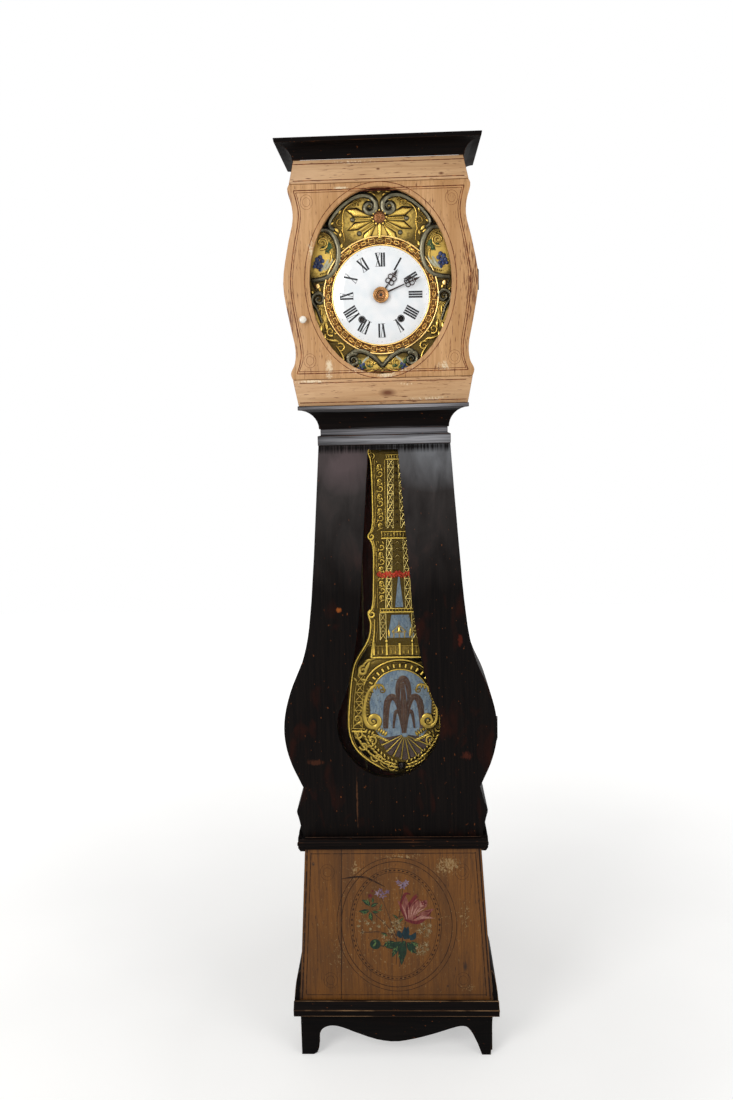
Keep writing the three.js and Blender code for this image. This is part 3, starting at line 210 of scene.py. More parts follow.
# %% [markdown]
# ## Pine
# Planed pine is pale, with darker growth rings, short dark cracks where its finish has opened, and knots. A
# picture of pine would be quick, but it repeats and it fits one board only. Layers of noise in real sizes fit
# every board and carry on round its edges. Real rings lie 2 to 4 mm apart, too fine to show from here, so they
# are drawn 7 mm apart and 200 mm long. Fibres are 1.6 mm wide, also coarser than real ones, and cracks are
# 3 mm by 22 mm, as on the real hood. The grain runs up the boards and along the rails.

# %% Pine along X or Z
def drawn_out(along, across, run):
    """The size of a pattern's cells, across and along a board that runs along X or Z."""
    return (run, across, across) if along == "X" else (across, across, run)


def pine(
    name, pale, deep, crack, along, knots=(), scuffs=(), roughness=0.45, chalk="#dec8a6", dry=(), lining=None
):
    """Pine with knots and dry patches (x, z, half width, half height), in metres. A scuff takes a fifth
    number, the height of the grain from which bare, chalky wood shows."""
    material, tree, shader, place = new_finish(name, roughness, **{"Specular IOR Level": 0.3})
    rings = grain(tree, place, drawn_out(along, 0.007, 0.20), 4.0, 0.9)
    fibres = grain(tree, place, drawn_out(along, 0.0016, 0.03), 2.0)
    clouds = grain(tree, place, drawn_out(along, 0.08, 0.25), 2.0)
    cracks = grain(tree, place, drawn_out(along, 0.0028, 0.022), 2.0)
    flecks = grain(tree, place, (0.005, 0.005, 0.007), 4.0, 0.8)
    colour = layer(tree, pale, deep, rings, 0.42, 0.74)
    colour = layer(tree, colour, deep, clouds, 0.44, 0.74)
    colour = layer(tree, colour, deep, fibres, 0.50, 0.90)
    colour = layer(tree, colour, crack, cracks, 0.63, 0.74)
    for x, z, half_width, half_height in knots:
        mask = soft_spot(tree, place, (x, z), (half_width, half_height), 1.0)
        colour = layer(tree, colour, crack, mask, 0.15, 0.8)
    for x, z, half_width, half_height, least in scuffs:
        mask = soft_spot(tree, place, (x, z), (half_width, half_height), flecks)
        colour = layer(tree, colour, chalk, mask, least, least + 0.16)
    for x, z, half_width, half_height in dry:
        mask = soft_spot(tree, place, (x, z), (half_width, half_height), cracks)
        colour = layer(tree, colour, crack, mask, 0.36, 0.50)
    if lining:
        # The stain lies on the inside alone: on what is less than 134 mm behind the clock's middle.
        forward = add_node(tree, "ShaderNodeVectorMath", {0: place, 1: (0, -1000, 0)}, operation="DOT_PRODUCT")
        stained = layer(tree, lining, crack, rings, 0.40, 0.95)
        colour = layer(tree, colour, stained, forward, -135.0, -134.0)
    surface(tree, shader, colour, fibres, 0.0006)
    return material


print("pine finish ready")

# %% [markdown]
# The clock's pine has aged in eight ways. Shellac gives the hood a satin skin, a roughness of 0.45, and an
# orange tone. Its door has bare scuffs under the oval and dry, dark checks along both edges, and its rails
# were wiped pale. Its sides had less light and wear, so they are even. The base was stained darker and has
# lost its skin in spots, which leaves it duller, 0.6, with chalky wood showing. The back is sawn, not planed,
# so it is matt, and its inside, which is seen through the trunk's opening, has a thin red-brown stain. The
# roof is sawn wood under dust. Two rubbed pines are for edges alone, where hands took the finish off.

# %% Eight pines
hood_knots = [(-0.152, 2.005, 0.006, 0.006)]
hood_scuffs = [
    (0.0, 1.864, 0.26, 0.035, 0.36), (-0.130, 1.868, 0.020, 0.060, 0.26), (0.010, 1.850, 0.060, 0.016, 0.28),
    (0.150, 1.868, 0.05, 0.03, 0.34), (-0.090, 2.292, 0.035, 0.008, 0.24), (-0.165, 2.150, 0.03, 0.12, 0.40),
]
hood_dry = [(0.240, 2.100, 0.130, 0.420), (-0.235, 1.960, 0.090, 0.260), (-0.225, 2.260, 0.060, 0.160)]
hood_pine = pine(
    "shellacked pine upright", "#c99c6d", "#ad7f50", "#6d4024", "Z", hood_knots, hood_scuffs, dry=hood_dry
)
side_pine = pine("shellacked pine sides", "#c3966a", "#a87c50", "#7a4c2e", "Z", roughness=0.5)
rail_knots = [(0.012, 1.806, 0.030, 0.014), (0.000, 2.333, 0.007, 0.004), (0.150, 2.318, 0.010, 0.005)]
rail_scuffs = [
    (0.060, 1.826, 0.10, 0.014, 0.42), (-0.180, 1.838, 0.10, 0.012, 0.30), (0.120, 1.790, 0.16, 0.016, 0.38),
    (-0.05, 2.350, 0.20, 0.014, 0.40),
]
rail_pine = pine("shellacked pine level", "#cda67c", "#b48a60", "#693d22", "X", rail_knots, rail_scuffs)
base_knots = [(0.190, 0.262, 0.009, 0.020), (0.142, 0.205, 0.005, 0.005), (-0.215, 0.560, 0.006, 0.009)]
base_scuffs = [
    (0.140, 0.545, 0.120, 0.100, 0.42), (0.020, 0.580, 0.25, 0.030, 0.44), (-0.15, 0.300, 0.12, 0.25, 0.50),
    (0.200, 0.200, 0.08, 0.05, 0.46), (-0.100, 0.540, 0.12, 0.12, 0.47), (0.190, 0.420, 0.12, 0.25, 0.50),
    (0.0, 0.385, 2.0, 2.0, 0.58), (0.150, 0.560, 0.09, 0.05, 0.34),
]
base_pine = pine(
    "darkened pine upright", "#714515", "#4d2d0c", "#2a180b", "Z", base_knots, base_scuffs, 0.6, "#94784f"
)
back_pine = pine("sawn pine, stained", "#86583e", "#65412c", "#371f15", "Z", roughness=0.7, lining="#7d3d30")
roof_pine = pine("sawn pine, dusty", "#8a6c4e", "#6e5339", "#3d2818", "X", roughness=0.75)
pine_edge = pine("rubbed pine edge", "#b78554", "#8c5c34", "#55331f", "Z", roughness=0.55)
dark_pine_edge = pine("rubbed dark pine edge", "#55341a", "#2a180c", "#180d07", "Z", roughness=0.55)
print("eight pines")

# %% [markdown]
# ## Black paint
# The trunk, the mouldings and the plinth have oil paint, brushed thinly along the wood long ago. It is nearly
# black, a red-brown ground shows through where it was rubbed, and bare wood shows in chips of 6 to 13 mm. A
# plain black shader would look like plastic. Here brush marks, 3 mm apart, raise the skin a little, and
# clouds change its gloss from half matt to matt. Marks of wear down to the ground or the wood are laid at
# places read from the real clock. At other places a painted grey sheen is laid in soft clouds, and painted
# strips of sheen or shadow lie along the brush marks.

# %% Brushed black paint
def black_paint(name, top, ground, rubbed, along, rub, marks=(), sheen_clouds=(), gloss=(0.42, 0.66), light_and_shade_strips=()):
    """Old black paint. Worn marks, clouds of painted sheen and strips of painted sheen or shadow are (x, z,
    half width, half height, colour).
    """
    material, tree, shader, place = new_finish(name, 0.4, **{"Specular IOR Level": 0.05})
    strokes = grain(tree, place, drawn_out(along, 0.003, 0.12), 3.0)
    clouds = grain(tree, place, drawn_out(along, 0.05, 0.12), 4.0, 0.6)
    chips = grain(tree, place, drawn_out(along, 0.006, 0.013), 3.0)
    colour = layer(tree, top, ground, strokes, 0.38, 0.72)
    colour = layer(tree, colour, rubbed, clouds, rub, rub + 0.16)
    colour = layer(tree, colour, "#74401f", chips, 0.70, 0.76)
    for x, z, half_width, half_height, code in marks:
        mask = soft_spot(tree, place, (x, z), (half_width, half_height), chips)
        colour = layer(tree, colour, code, mask, 0.18, 0.34)
    # Clouds of painted sheen: grey where light mirrored by the paint is painted in.
    for x, z, half_width, half_height, code in sheen_clouds:
        mask = soft_spot(tree, place, (x, z), (half_width, half_height), clouds)
        colour = layer(tree, colour, code, mask, 0.04, 0.46)
    # Strips of painted sheen or painted shadow, broken by the brush marks.
    for x, z, half_width, half_height, code in light_and_shade_strips:
        mask = soft_spot(tree, place, (x, z), (half_width, half_height), strokes)
        colour = layer(tree, colour, code, mask, 0.10, 0.46)
    inputs = {"Value": clouds, "To Min": gloss[0], "To Max": gloss[1]}
    tree.links.new(add_node(tree, "ShaderNodeMapRange", inputs), shader.inputs["Roughness"])
    surface(tree, shader, colour, strokes, 0.0007)
    return material


print("black paint ready")

# %% [markdown]
# A grey sheen is painted on the trunk's top, most of all right of the pendulum, and a painted shadow line runs
# under the batten. The faces of the neck moulding that stick out get a painted light grey sheen, while its
# hollow stays black. Mouldings are duller than the trunk, 0.55 to 0.80, because nobody polished them. Edges
# wear first, so the rounded edges get a browner paint of their own, and the plinth's top edge, which shoes
# have met, shows pale wood.

# %% Seven paints
trunk_marks = [
    (-0.1265, 1.2545, 0.012, 0.014, "#8a4a20"),
    (0.186, 1.170, 0.012, 0.030, "#481c12"),
    (-0.200, 0.845, 0.04, 0.014, "#3a2016"),
    (0.200, 0.860, 0.025, 0.022, "#3c1c14"),
    (-0.092, 0.735, 0.0045, 0.12, "#4a3020"),
]
# Painted sheen: grey clouds on the trunk's top stand in for light mirrored by its paint.
trunk_painted_sheen = [
    (0.0, 1.70, 0.50, 0.46, "#3c3837"), (0.120, 1.665, 0.16, 0.12, "#6c6d70"),
    (-0.100, 1.630, 0.10, 0.09, "#54494a"),
]
# Painted shadow: a dark line under the batten.
batten_painted_shadow = [(0.0, 1.672, 0.80, 0.020, "#060404")]
trunk_paint = black_paint(
    "black oil paint upright", "#070505", "#120d0b", "#240f0a", "Z", 0.56, trunk_marks, trunk_painted_sheen,
    light_and_shade_strips=batten_painted_shadow,
)
matt = (0.55, 0.80)
# Painted sheen: light grey strips on the neck moulding's upright faces.
neck_painted_sheen = [
    (0.06, 1.691, 0.42, 0.024, "#98989c"), (0.05, 1.7115, 0.42, 0.015, "#807f83"),
    (0.04, 1.7720, 0.46, 0.015, "#949295"),
]
neck_paint = black_paint(
    "black oil paint on the neck", "#060404", "#110b09", "#1c0d09", "X", 0.62, gloss=matt, light_and_shade_strips=neck_painted_sheen
)
moulding_paint = black_paint("black oil paint level", "#060404", "#110b09", "#1c0d09", "X", 0.62, gloss=matt)
plinth_paint = black_paint(
    "black oil paint on the plinth", "#060505", "#0f0b0a", "#180d0a", "X", 0.68, gloss=matt
)
trunk_edge = black_paint("rubbed trunk edge", "#100b08", "#21150e", "#3f2717", "Z", 0.50)
plinth_edge = black_paint("rubbed plinth edge", "#2b1d13", "#4d3623", "#7d6145", "X", 0.42)
moulding_edge = black_paint("rubbed moulding edge", "#130d09", "#251710", "#442a18", "X", 0.50)
print("seven paints")

# %% [markdown]
# ## The movement's metals
# The movement is forged iron and cast brass. Its iron is oiled, dull and almost black, so its roughness is
# 0.5. The brass wheels have a yellow, turned face, which shines softly. The bell is paler, as it holds more
# tin. The weights are sand cast, and rust has pitted their skin: it is rough, 0.7, and only half a metal
# to the eye. One metal could do for all, but each ages in its own way, so each takes its own clean and
# tarnished tone, in clouds of 20 mm. Pits and specks are well under a millimetre on the real pieces and are
# drawn 2 to 4 mm wide, so that they show.

# %% Four metals
def metal(name, bright, dull, roughness, speck, metallic=1.0, relief=0.0003):
    """A metal between a bright and a dull tone, with specks of so many metres."""
    material, tree, shader, place = new_finish(name, roughness, metallic)
    tarnish = grain(tree, place, (0.02, 0.02, 0.02), 4.0, 0.4)
    specks = grain(tree, place, (speck, speck, speck), 2.0)
    colour = layer(tree, bright, dull, tarnish, 0.35, 0.70)
    colour = layer(tree, colour, dull, specks, 0.60, 0.75)
    surface(tree, shader, colour, specks, relief)
    return material


wheel_brass = metal("cast brass, turned", "#d3a24a", "#94672a", 0.32, 0.0030)
bell_bronze = metal("bell bronze", "#cdb27a", "#8c7444", 0.30, 0.0040)
forged_iron = metal("forged iron, oiled", "#4a4543", "#231f1e", 0.50, 0.0040)
cast_iron = metal("cast iron, rusty", "#3a312c", "#1e1815", 0.70, 0.0020, 0.6, 0.0008)
print("four metals")

# %% [markdown]
# ## Enamel, glass, porcelain and hemp
# Vitreous enamel is glass fused on copper: bluish white, glossy, and very slightly wavy from the kiln, in
# waves of 30 mm. Old window glass is nearly clear. It is drawn as a thin pane that lets the light through and
# only mirrors by Fresnel, because a thick refracting pane would darken the dial behind it. Only faces turned
# to the viewer mirror, because the others would mirror everything at a steep angle. The small knob is glazed
# porcelain with fine crazing. Hemp rope is matt and hairy, with hairs of about 1 mm by 4 mm.

# %% Enamel, glass, porcelain and hemp
glaze = {"Coat Weight": 0.6, "Coat Roughness": 0.03}
enamel, tree, shader, place = new_finish("vitreous enamel", 0.10, **glaze)
kiln_waves = grain(tree, place, (0.03, 0.03, 0.03), 1.0)
surface(tree, shader, layer(tree, "#f4f5f6", "#e8edf0", kiln_waves, 0.35, 0.70), kiln_waves, 0.0006)

glass, tree, shader, place = new_finish("thin window glass", 0.03, **{"Alpha": 1.0, "IOR": 1.45})
seed_waves = grain(tree, place, (0.06, 0.06, 0.12), 1.0)
surface(tree, shader, layer(tree, "#f4f8f5", "#eaf2ee", seed_waves, 0.3, 0.7), seed_waves, 0.0004)
clear = add_node(tree, "ShaderNodeBsdfTransparent", {"Color": "#ffffff"})
fresnel = add_node(tree, "ShaderNodeFresnel", {"IOR": 1.14})
geometry = tree.nodes.new("ShaderNodeNewGeometry")
outer = add_node(tree, "ShaderNodeMath", {0: 1.0, 1: geometry.outputs["Backfacing"]}, operation="SUBTRACT")
mirror_share = add_node(tree, "ShaderNodeMath", {0: fresnel, 1: outer}, operation="MULTIPLY")
faces = add_node(tree, "ShaderNodeMixShader", {0: mirror_share, 1: clear, 2: shader.outputs[0]})
tree.links.new(faces, tree.nodes["Material Output"].inputs["Surface"])

porcelain, tree, shader, place = new_finish("glazed porcelain", 0.15)
crazing = grain(tree, place, (0.004, 0.004, 0.004), 2.0)
surface(tree, shader, layer(tree, "#efe9dc", "#d9cfba", crazing, 0.45, 0.75), crazing, 0.0002)

hemp, tree, shader, place = new_finish("hemp rope", 0.9)
hairs = grain(tree, place, (0.0010, 0.0010, 0.004), 3.0)
surface(tree, shader, layer(tree, "#a88f63", "#6e5836", hairs, 0.35, 0.7), hairs, 0.0004)
print("glass, enamel and rope")

# %% [markdown]
# ## Boards with softened edges
# A CAD board has knife edges, but on the real case every edge is rounded by planing, paint and hands, and it
# catches the light. A Bevel modifier finds no edges on loose triangles. So a copy of each board is merged, its
# sharp edges are bevelled by about a millimetre, and the narrow bevel takes the rubbed finish as a second
# material. The copy stands for the CAD board, whose own mesh must stay as it is.

# %% Soften and finish a board
def finished(piece, body, *materials, slot=None, stands_for=(), sharp=32):
    """Gives a piece its materials, shading and body, and hides the imported parts it stands for."""
    for material in materials:
        piece.data.materials.append(material)
    piece.data.set_sharp_from_angle(angle=math.radians(sharp))
    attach(piece, body)
    if stands_for:
        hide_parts(*stands_for)
    return piece


def from_bmesh(name, shape):
    """Turns a bmesh into an object in the scene, smooth, with its faces outwards."""
    bmesh.ops.recalc_face_normals(shape, faces=shape.faces)
    for face in shape.faces:
        face.smooth = True
    mesh = bpy.data.meshes.new(name)
    shape.to_mesh(mesh)
    shape.free()
    piece = bpy.data.objects.new(name, mesh)
    bpy.context.scene.collection.objects.link(piece)
    return piece


def merged_copy(node):
    """A copy of a CAD node's mesh, whose loose triangles are joined into one skin."""
    shape = bmesh.new()
    shape.from_mesh(nodes[node].data)
    bmesh.ops.remove_doubles(shape, verts=shape.verts, dist=1e-5)
    return shape


flat_angle, sharp_angle = 0.02, 0.6


def worn_copy(node, face, edge, width, slot):
    """A softened copy of a CAD node, with a second finish on its rounded edges."""
    shape = merged_copy(node)
    bmesh.ops.dissolve_limit(shape, angle_limit=flat_angle, verts=shape.verts, edges=shape.edges)
    corners = [e for e in shape.edges if e.is_manifold and e.calc_face_angle(0) > sharp_angle]
    sharp = [e for e in corners if e.calc_length() > width]
    options = {"affect": "EDGES", "segments": 2, "profile": 0.5, "material": -1, "clamp_overlap": True}
    if sharp:
        rounded = bmesh.ops.bevel(shape, geom=sharp, offset=width, offset_type="OFFSET", **options)
        for narrow in rounded["faces"]:
            narrow.material_index = 1 if edge else 0
    bmesh.ops.triangulate(shape, faces=[f for f in shape.faces if len(f.verts) > 4])
    piece = from_bmesh("worn_" + node, shape)
    materials = (face, edge) if edge else (face,)
    return finished(piece, nodes[node]["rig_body"], *materials, slot=slot, stands_for=[node])


print("tools for boards ready")

# %% [markdown]
# Each row of the table is one job for the case maker: a finish for the faces, one for the edges, the width of
# the rounding in metres, the slot, and the boards that get them. Rough boards have edges like their faces.

# %% Finish the boards
board_finishes = {
    (plinth_paint, moulding_edge, 0.0012, "dark_paint"): "plinth_apron_front plinth_apron_right "
    "plinth_apron_left",
    (moulding_paint, plinth_edge, 0.0014, "dark_paint"): "base_moulding_front base_moulding_right "
    "base_moulding_left",
    (neck_paint, moulding_edge, 0.0010, "dark_paint"): "neck_moulding_front neck_moulding_right "
    "neck_moulding_left neck_rail",
    (moulding_paint, moulding_edge, 0.0010, "dark_paint"): "waist_moulding_front waist_moulding_right "
    "waist_moulding_left cornice_front cornice_left cornice_right",
    (base_pine, dark_pine_edge, 0.0012, "base_pine"): "base_front_narrow_board base_front_wide_board "
    "base_side_right base_side_left",
    (trunk_paint, trunk_edge, 0.0012, "dark_paint"): "trunk_side_right trunk_side_left trunk_door",
    (rail_pine, pine_edge, 0.0010, "hood_pine"): "hood_bottom_rail hood_top_rail",
    (hood_pine, pine_edge, 0.0012, "hood_pine"): "hood_door",
    (side_pine, pine_edge, 0.0012, "hood_pine"): "hood_side_right hood_side_left",
    (back_pine, None, 0.0010, "raw_pine"): "case_back seat_board",
    (roof_pine, None, 0.0010, "raw_pine"): "hood_roof",
}
board_count = 0
for (face, edge, width, slot), names in board_finishes.items():
    for node in names.split():
        worn_copy(node, face, edge, width, slot)
        board_count += 1
print(board_count, "boards softened")

# %% [markdown]
# ## Hardware, movement and glass
# The wheels, the cage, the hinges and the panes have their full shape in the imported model. They are small or
# hidden, so they keep their meshes and only get a better finish, in the slot they already have.

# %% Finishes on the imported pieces
packed_finishes = {
    wheel_brass: "going_great_wheel strike_great_wheel going_second_wheel strike_pin_wheel escape_wheel",
    forged_iron: "movement_cage going_barrel strike_barrel anchor_crutch hammer pendulum_rod "
    "trunk_case_hinge_leaf trunk_door_hinge_leaf hood_case_hinge_leaf hood_door_hinge_leaf",
    glass: "hood_glass trunk_glass_lower trunk_glass_upper",
}
for material, names in packed_finishes.items():
    for node in names.split():
        for slot in nodes[node].material_slots:
            slot.material = material
print("finishes on the packed pieces")

# %% [markdown]
# The bell, the weights and the knob are round on the real clock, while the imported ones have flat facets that
# shine one by one. Copies of them are shaded round, and their rims are broken as on a cast or fired piece.

# %% Shade the round pieces
round_pieces = {
    "bell": (bell_bronze, 0.0004, "bell_metal"),
    "going_weight": (cast_iron, 0.0010, "cast_iron"),
    "strike_weight": (cast_iron, 0.0010, "cast_iron"),
    "hood_knob": (porcelain, 0.0003, "porcelain"),
}
for node, (material, width, slot) in round_pieces.items():
    worn_copy(node, material, None, width, slot)
print(len(round_pieces), "round pieces")

# %% [markdown]
# ## Embossed brass
# The dial's surround and the pendulum are thin brass sheet, driven from behind over a pattern: scrolls,
# leaves and bands stand up as rounded ridges. Sculpting them would take days, and a bump texture would leave
# the sheet flat from the side. Here each ridge is a curve with a round bevel whose width is given point by
# point. The curve is made a mesh, which is flattened towards the sheet and sinks 0.3 mm into it. Ornament is
# drawn in millimetres, because that is how the real one is measured.

# %% Ridges, bosses and flat patches
MM = 0.001
sunk = 0.3


def embossed(name, strands, sheet_y, rise, body, finish, slot, sides=2, order=3):
    """Ridges along strands of (x, z, half width) in millimetres. They stand rise times that width proud."""
    curve = bpy.data.curves.new(name, "CURVE")
    curve.dimensions = "3D"
    curve.bevel_depth = MM
    curve.bevel_resolution = sides
    curve.resolution_u = 4
    curve.use_fill_caps = True
    for strand in strands:
        closed = strand[0] == strand[-1]
        points = strand[:-1] if closed else strand
        spline = curve.splines.new("NURBS" if order > 2 else "POLY")
        spline.points.add(len(points) - 1)
        for point, (x, z, half_width) in zip(spline.points, points):
            point.co = (x * MM, 0, z * MM, 1)
            point.radius = half_width
        spline.use_cyclic_u = closed
        spline.use_endpoint_u = not closed
        spline.order_u = order
    holder = bpy.data.objects.new(name, curve)
    mesh = bpy.data.meshes.new_from_object(holder)
    bpy.data.objects.remove(holder)
    for vertex in mesh.vertices:
        vertex.co.y = sheet_y * MM + min(vertex.co.y * rise, sunk * MM)
    mesh.shade_smooth()
    piece = bpy.data.objects.new(name, mesh)
    bpy.context.scene.collection.objects.link(piece)
    return finished(piece, body, finish, slot=slot, sharp=75)


def bosses(name, spots, sheet_y, rise, body, finish, slot):
    """Round bosses at (x, z, radius) in millimetres."""
    shape = bmesh.new()
    for x, z, radius in spots:
        place = Matrix.Translation((x * MM, sheet_y * MM, z * MM))
        size = Matrix.Diagonal((radius * MM, radius * rise * MM, radius * MM, 1))
        around, up = (24, 12) if radius > 5 else (8, 6)
        bmesh.ops.create_uvsphere(shape, u_segments=around, v_segments=up, radius=1, matrix=place @ size)
    return finished(from_bmesh(name, shape), body, finish, slot=slot, sharp=75)


def flat_patch(name, outline, front_y, thickness, body, finish, slot):
    """A thin painted patch with a straight-sided outline of (x, z) in millimetres."""
    shape = bmesh.new()
    face = shape.faces.new([shape.verts.new((x * MM, front_y * MM, z * MM)) for x, z in outline])
    extruded = bmesh.ops.extrude_face_region(shape, geom=[face])["geom"]
    moved = [v for v in extruded if isinstance(v, bmesh.types.BMVert)]
    bmesh.ops.translate(shape, verts=moved, vec=(0, thickness * MM, 0))
    bmesh.ops.triangulate(shape, faces=[f for f in shape.faces if len(f.verts) > 4])
    return finished(from_bmesh(name, shape), body, finish, slot=slot)


print("ridges, bosses and patches ready")

# %% [markdown]
# Pressed ornament is built from a few lines: an arc, a volute that winds in to its eye, a leaf that is widest
# in its middle, and a fringe of leaves or beads along a line. Each could be drawn point by point, but a small
# function for each keeps the curves smooth and lets a row be spaced evenly.

# %% Lines of ornament
def widths(points, *half_widths):
    """Gives points (x, z) their half widths, spread evenly from the first to the last of those given."""
    last = len(points) - 1
    spread = []
    for k, (x, z) in enumerate(points):
        place = k / last * (len(half_widths) - 1)
        low = min(int(place), len(half_widths) - 2)
        share = place - low
        spread.append((x, z, half_widths[low] * (1 - share) + half_widths[low + 1] * share))
    return spread


def arc(x, z, radius_x, radius_z, start, end, count):
    """Points along an arc, with angles in degrees, counted from +X towards +Z."""
    angles = [math.radians(start + (end - start) * k / (count - 1)) for k in range(count)]
    return [(x + radius_x * math.cos(a), z + radius_z * math.sin(a)) for a in angles]


def volute(x, z, radius, start, turns):
    """Points of a spiral that winds in to its eye."""
    count = int(abs(turns) * 12) + 2
    points = []
    for k in range(count):
        share = k / (count - 1)
        angle = math.radians(start + 360 * turns * share)
        reach = radius * (1 - share) ** 0.9 + 0.06 * radius
        points.append((x + reach * math.cos(angle), z + reach * math.sin(angle)))
    return points


def leaf(x, z, angle, length, half_width, bend=0.0):
    """A leaf as one strand: thin at the stalk, wide, and drawn out to a tip that bends to one side."""
    along = math.radians(angle)
    points = []
    for share, width in ((0, 0.25), (0.25, 0.85), (0.5, 1.0), (0.75, 0.6), (1, 0.08)):
        side = bend * length * share * share
        reach_x = share * length * math.cos(along) - side * math.sin(along)
        reach_z = share * length * math.sin(along) + side * math.cos(along)
        points.append((x + reach_x, z + reach_z, width * half_width))
    return points


def fringe(points, spacing, length, half_width, lean, bend=0.0):
    """Leaves or beads in a row along a line, leaning from its direction by an angle."""
    row, left = [], 0.0
    for (x, z), (next_x, next_z) in zip(points, points[1:]):
        run = math.hypot(next_x - x, next_z - z)
        heading = math.degrees(math.atan2(next_z - z, next_x - x))
        while left < run:
            share = left / run
            root_x, root_z = x + (next_x - x) * share, z + (next_z - z) * share
            row.append(leaf(root_x, root_z, heading + lean, length, half_width, bend))
            left += spacing
        left -= run
    return row


def oval_strand(x, z, radius_x, radius_z, half_width, count=61):
    """A closed ridge along an oval."""
    points = arc(x, z, radius_x, radius_z, 0, 360, count)
    return [(px, pz, half_width) for px, pz in points[:-1]] + [(*points[0], half_width)]


def both_sides(strands, axis=0.0):
    """The strands and their mirror images about an upright line."""
    return strands + [[(2 * axis - x, *rest) for x, *rest in strand] for strand in strands]


print("ornament helpers ready")

# %% [markdown]
# Old embossed brass is bright on its crests, where it was polished, and olive brown in its hollows, where
# lacquer and dust have settled. That could be painted by hand on a UV map. Here the finish reads its own
# distance in front of the sheet, in millimetres, so hollows go dark and crests go bright by themselves, and
# an ambient occlusion node darkens the corners within 2 to 7 mm, with grime and painted shade. Tarnish
# mottles it in spots of 6 mm, and the sheet's dents are 3 mm wide. Polished brass has a roughness of 0.25,
# glazed brass up to 0.4.

# %% Brass that darkens in its hollows
def embossed_brass(
    name, crest, slope, hollow, sheet_y, rise, roughness=0.25, metallic=1.0, grime_and_shade="#1d150a", reach=0.007,
    bright_spots=(),
):
    """Brass between a sheet and the top of its relief, both in millimetres. Bright spots are laid in the crest
    colour.
    """
    material, tree, shader, place = new_finish(name, roughness, metallic)
    height = add_node(tree, "ShaderNodeVectorMath", {0: place, 1: (0, -1000, 0)}, operation="DOT_PRODUCT")
    tarnish = grain(tree, place, (0.006, 0.006, 0.006), 4.0, 0.5)
    dents = grain(tree, place, (0.0030, 0.0030, 0.0030), 3.0)
    mottled = {0: tarnish, 1: -0.6 * rise, 2: height}
    uneven = add_node(tree, "ShaderNodeMath", mottled, operation="MULTIPLY_ADD")
    foot = -sheet_y - 0.3 * rise
    colour = layer(tree, hollow, slope, uneven, foot - 0.1, foot + 0.45 * rise)
    colour = layer(tree, colour, crest, uneven, foot + 0.35 * rise, foot + rise)
    clouds = grain(tree, place, (0.05, 0.05, 0.05), 2.0)
    colour = layer(tree, colour, hollow, clouds, 0.56, 0.95)
    # Soft spots where the brass is made brighter, in its crest colour.
    for x, z, half_width, half_height in bright_spots:
        mask = soft_spot(tree, place, (x, z), (half_width, half_height), tarnish)
        colour = layer(tree, colour, crest, mask, 0.06, 0.24)
    # Ambient occlusion darkens the corners: grime and painted shade.
    open_sky = add_node(tree, "ShaderNodeAmbientOcclusion", {"Distance": reach}, samples=8)
    grimed_and_shaded = layer(tree, grime_and_shade, colour, open_sky, 0.45, 0.92)
    surface(tree, shader, grimed_and_shaded, dents, 0.0009)
    return material


print("brass finish ready")

# %% [markdown]
# The brasses differ by how they were finished. On the surround, polished brass is yellow, the bands round the
# cartouches were left duller and look grey, and the sheet behind is yellow under a brown glaze, bright only
# in its panels. The chain has orange lacquer, and the star's jewel has red lacquer. The pendulum is a little
# greener: its trellis is the palest, its bulb's brass is painted darker as painted shade, and a copper-brown
# lacquer covers the shell.

# %% Brasses of the surround and the pendulum
surround_y, pendulum_y = -53.25, -25.25
surround_brass = embossed_brass("polished surround brass", "#e6c465", "#96752f", "#3a2d15", surround_y, 3.2)
surround_band = embossed_brass("greyed surround brass", "#7b7661", "#413b2d", "#1a160f", surround_y, 6.2, 0.28)
# Spots where the sheet is made brighter, in its panels.
bright_panel_spots = [(0.0, 2.222, 0.115, 0.075), (-0.145, 2.145, 0.045, 0.075), (0.145, 2.145, 0.045, 0.075)]
bright_panel_spots += [(-0.150, 2.000, 0.020, 0.045), (0.150, 2.000, 0.020, 0.045), (0.0, 1.880, 0.09, 0.022)]
surround_sheet = embossed_brass(
    "glazed surround sheet", "#d2b05a", "#7d6732", "#544422", surround_y, 2.6, 0.3, bright_spots=bright_panel_spots
)
chain_brass = embossed_brass(
    "orange lacquered brass", "#ffd98a", "#d9a455", "#5e3a1c", surround_y - 1.2, 1.7, 0.24, 1.0, "#2c170a",
    0.0022,
)
pendulum_brass = embossed_brass(
    "polished pendulum brass", "#c6a94e", "#79622a", "#30270f", pendulum_y, 2.6, 0.25, 1.0, "#1d150a", 0.0035
)
# Painted shade: the bulb's brass is painted darker, as the lower pendulum lies in shade.
shaded_bulb_brass = embossed_brass(
    "pendulum brass, painted darker as shade", "#a1883f", "#5a4820", "#241c0d", pendulum_y, 2.6, 0.28, 1.0, "#140e07", 0.0045
)
pendulum_sheet = embossed_brass(
    "glazed pendulum sheet", "#857132", "#665322", "#443717", pendulum_y, 3.0, 0.36, 1.0, "#1d150a", 0.0045
)
trellis_brass = embossed_brass(
    "pale trellis brass", "#cbb56d", "#857036", "#312710", pendulum_y, 2.2, 0.25, 1.0, "#1d150a", 0.0035
)
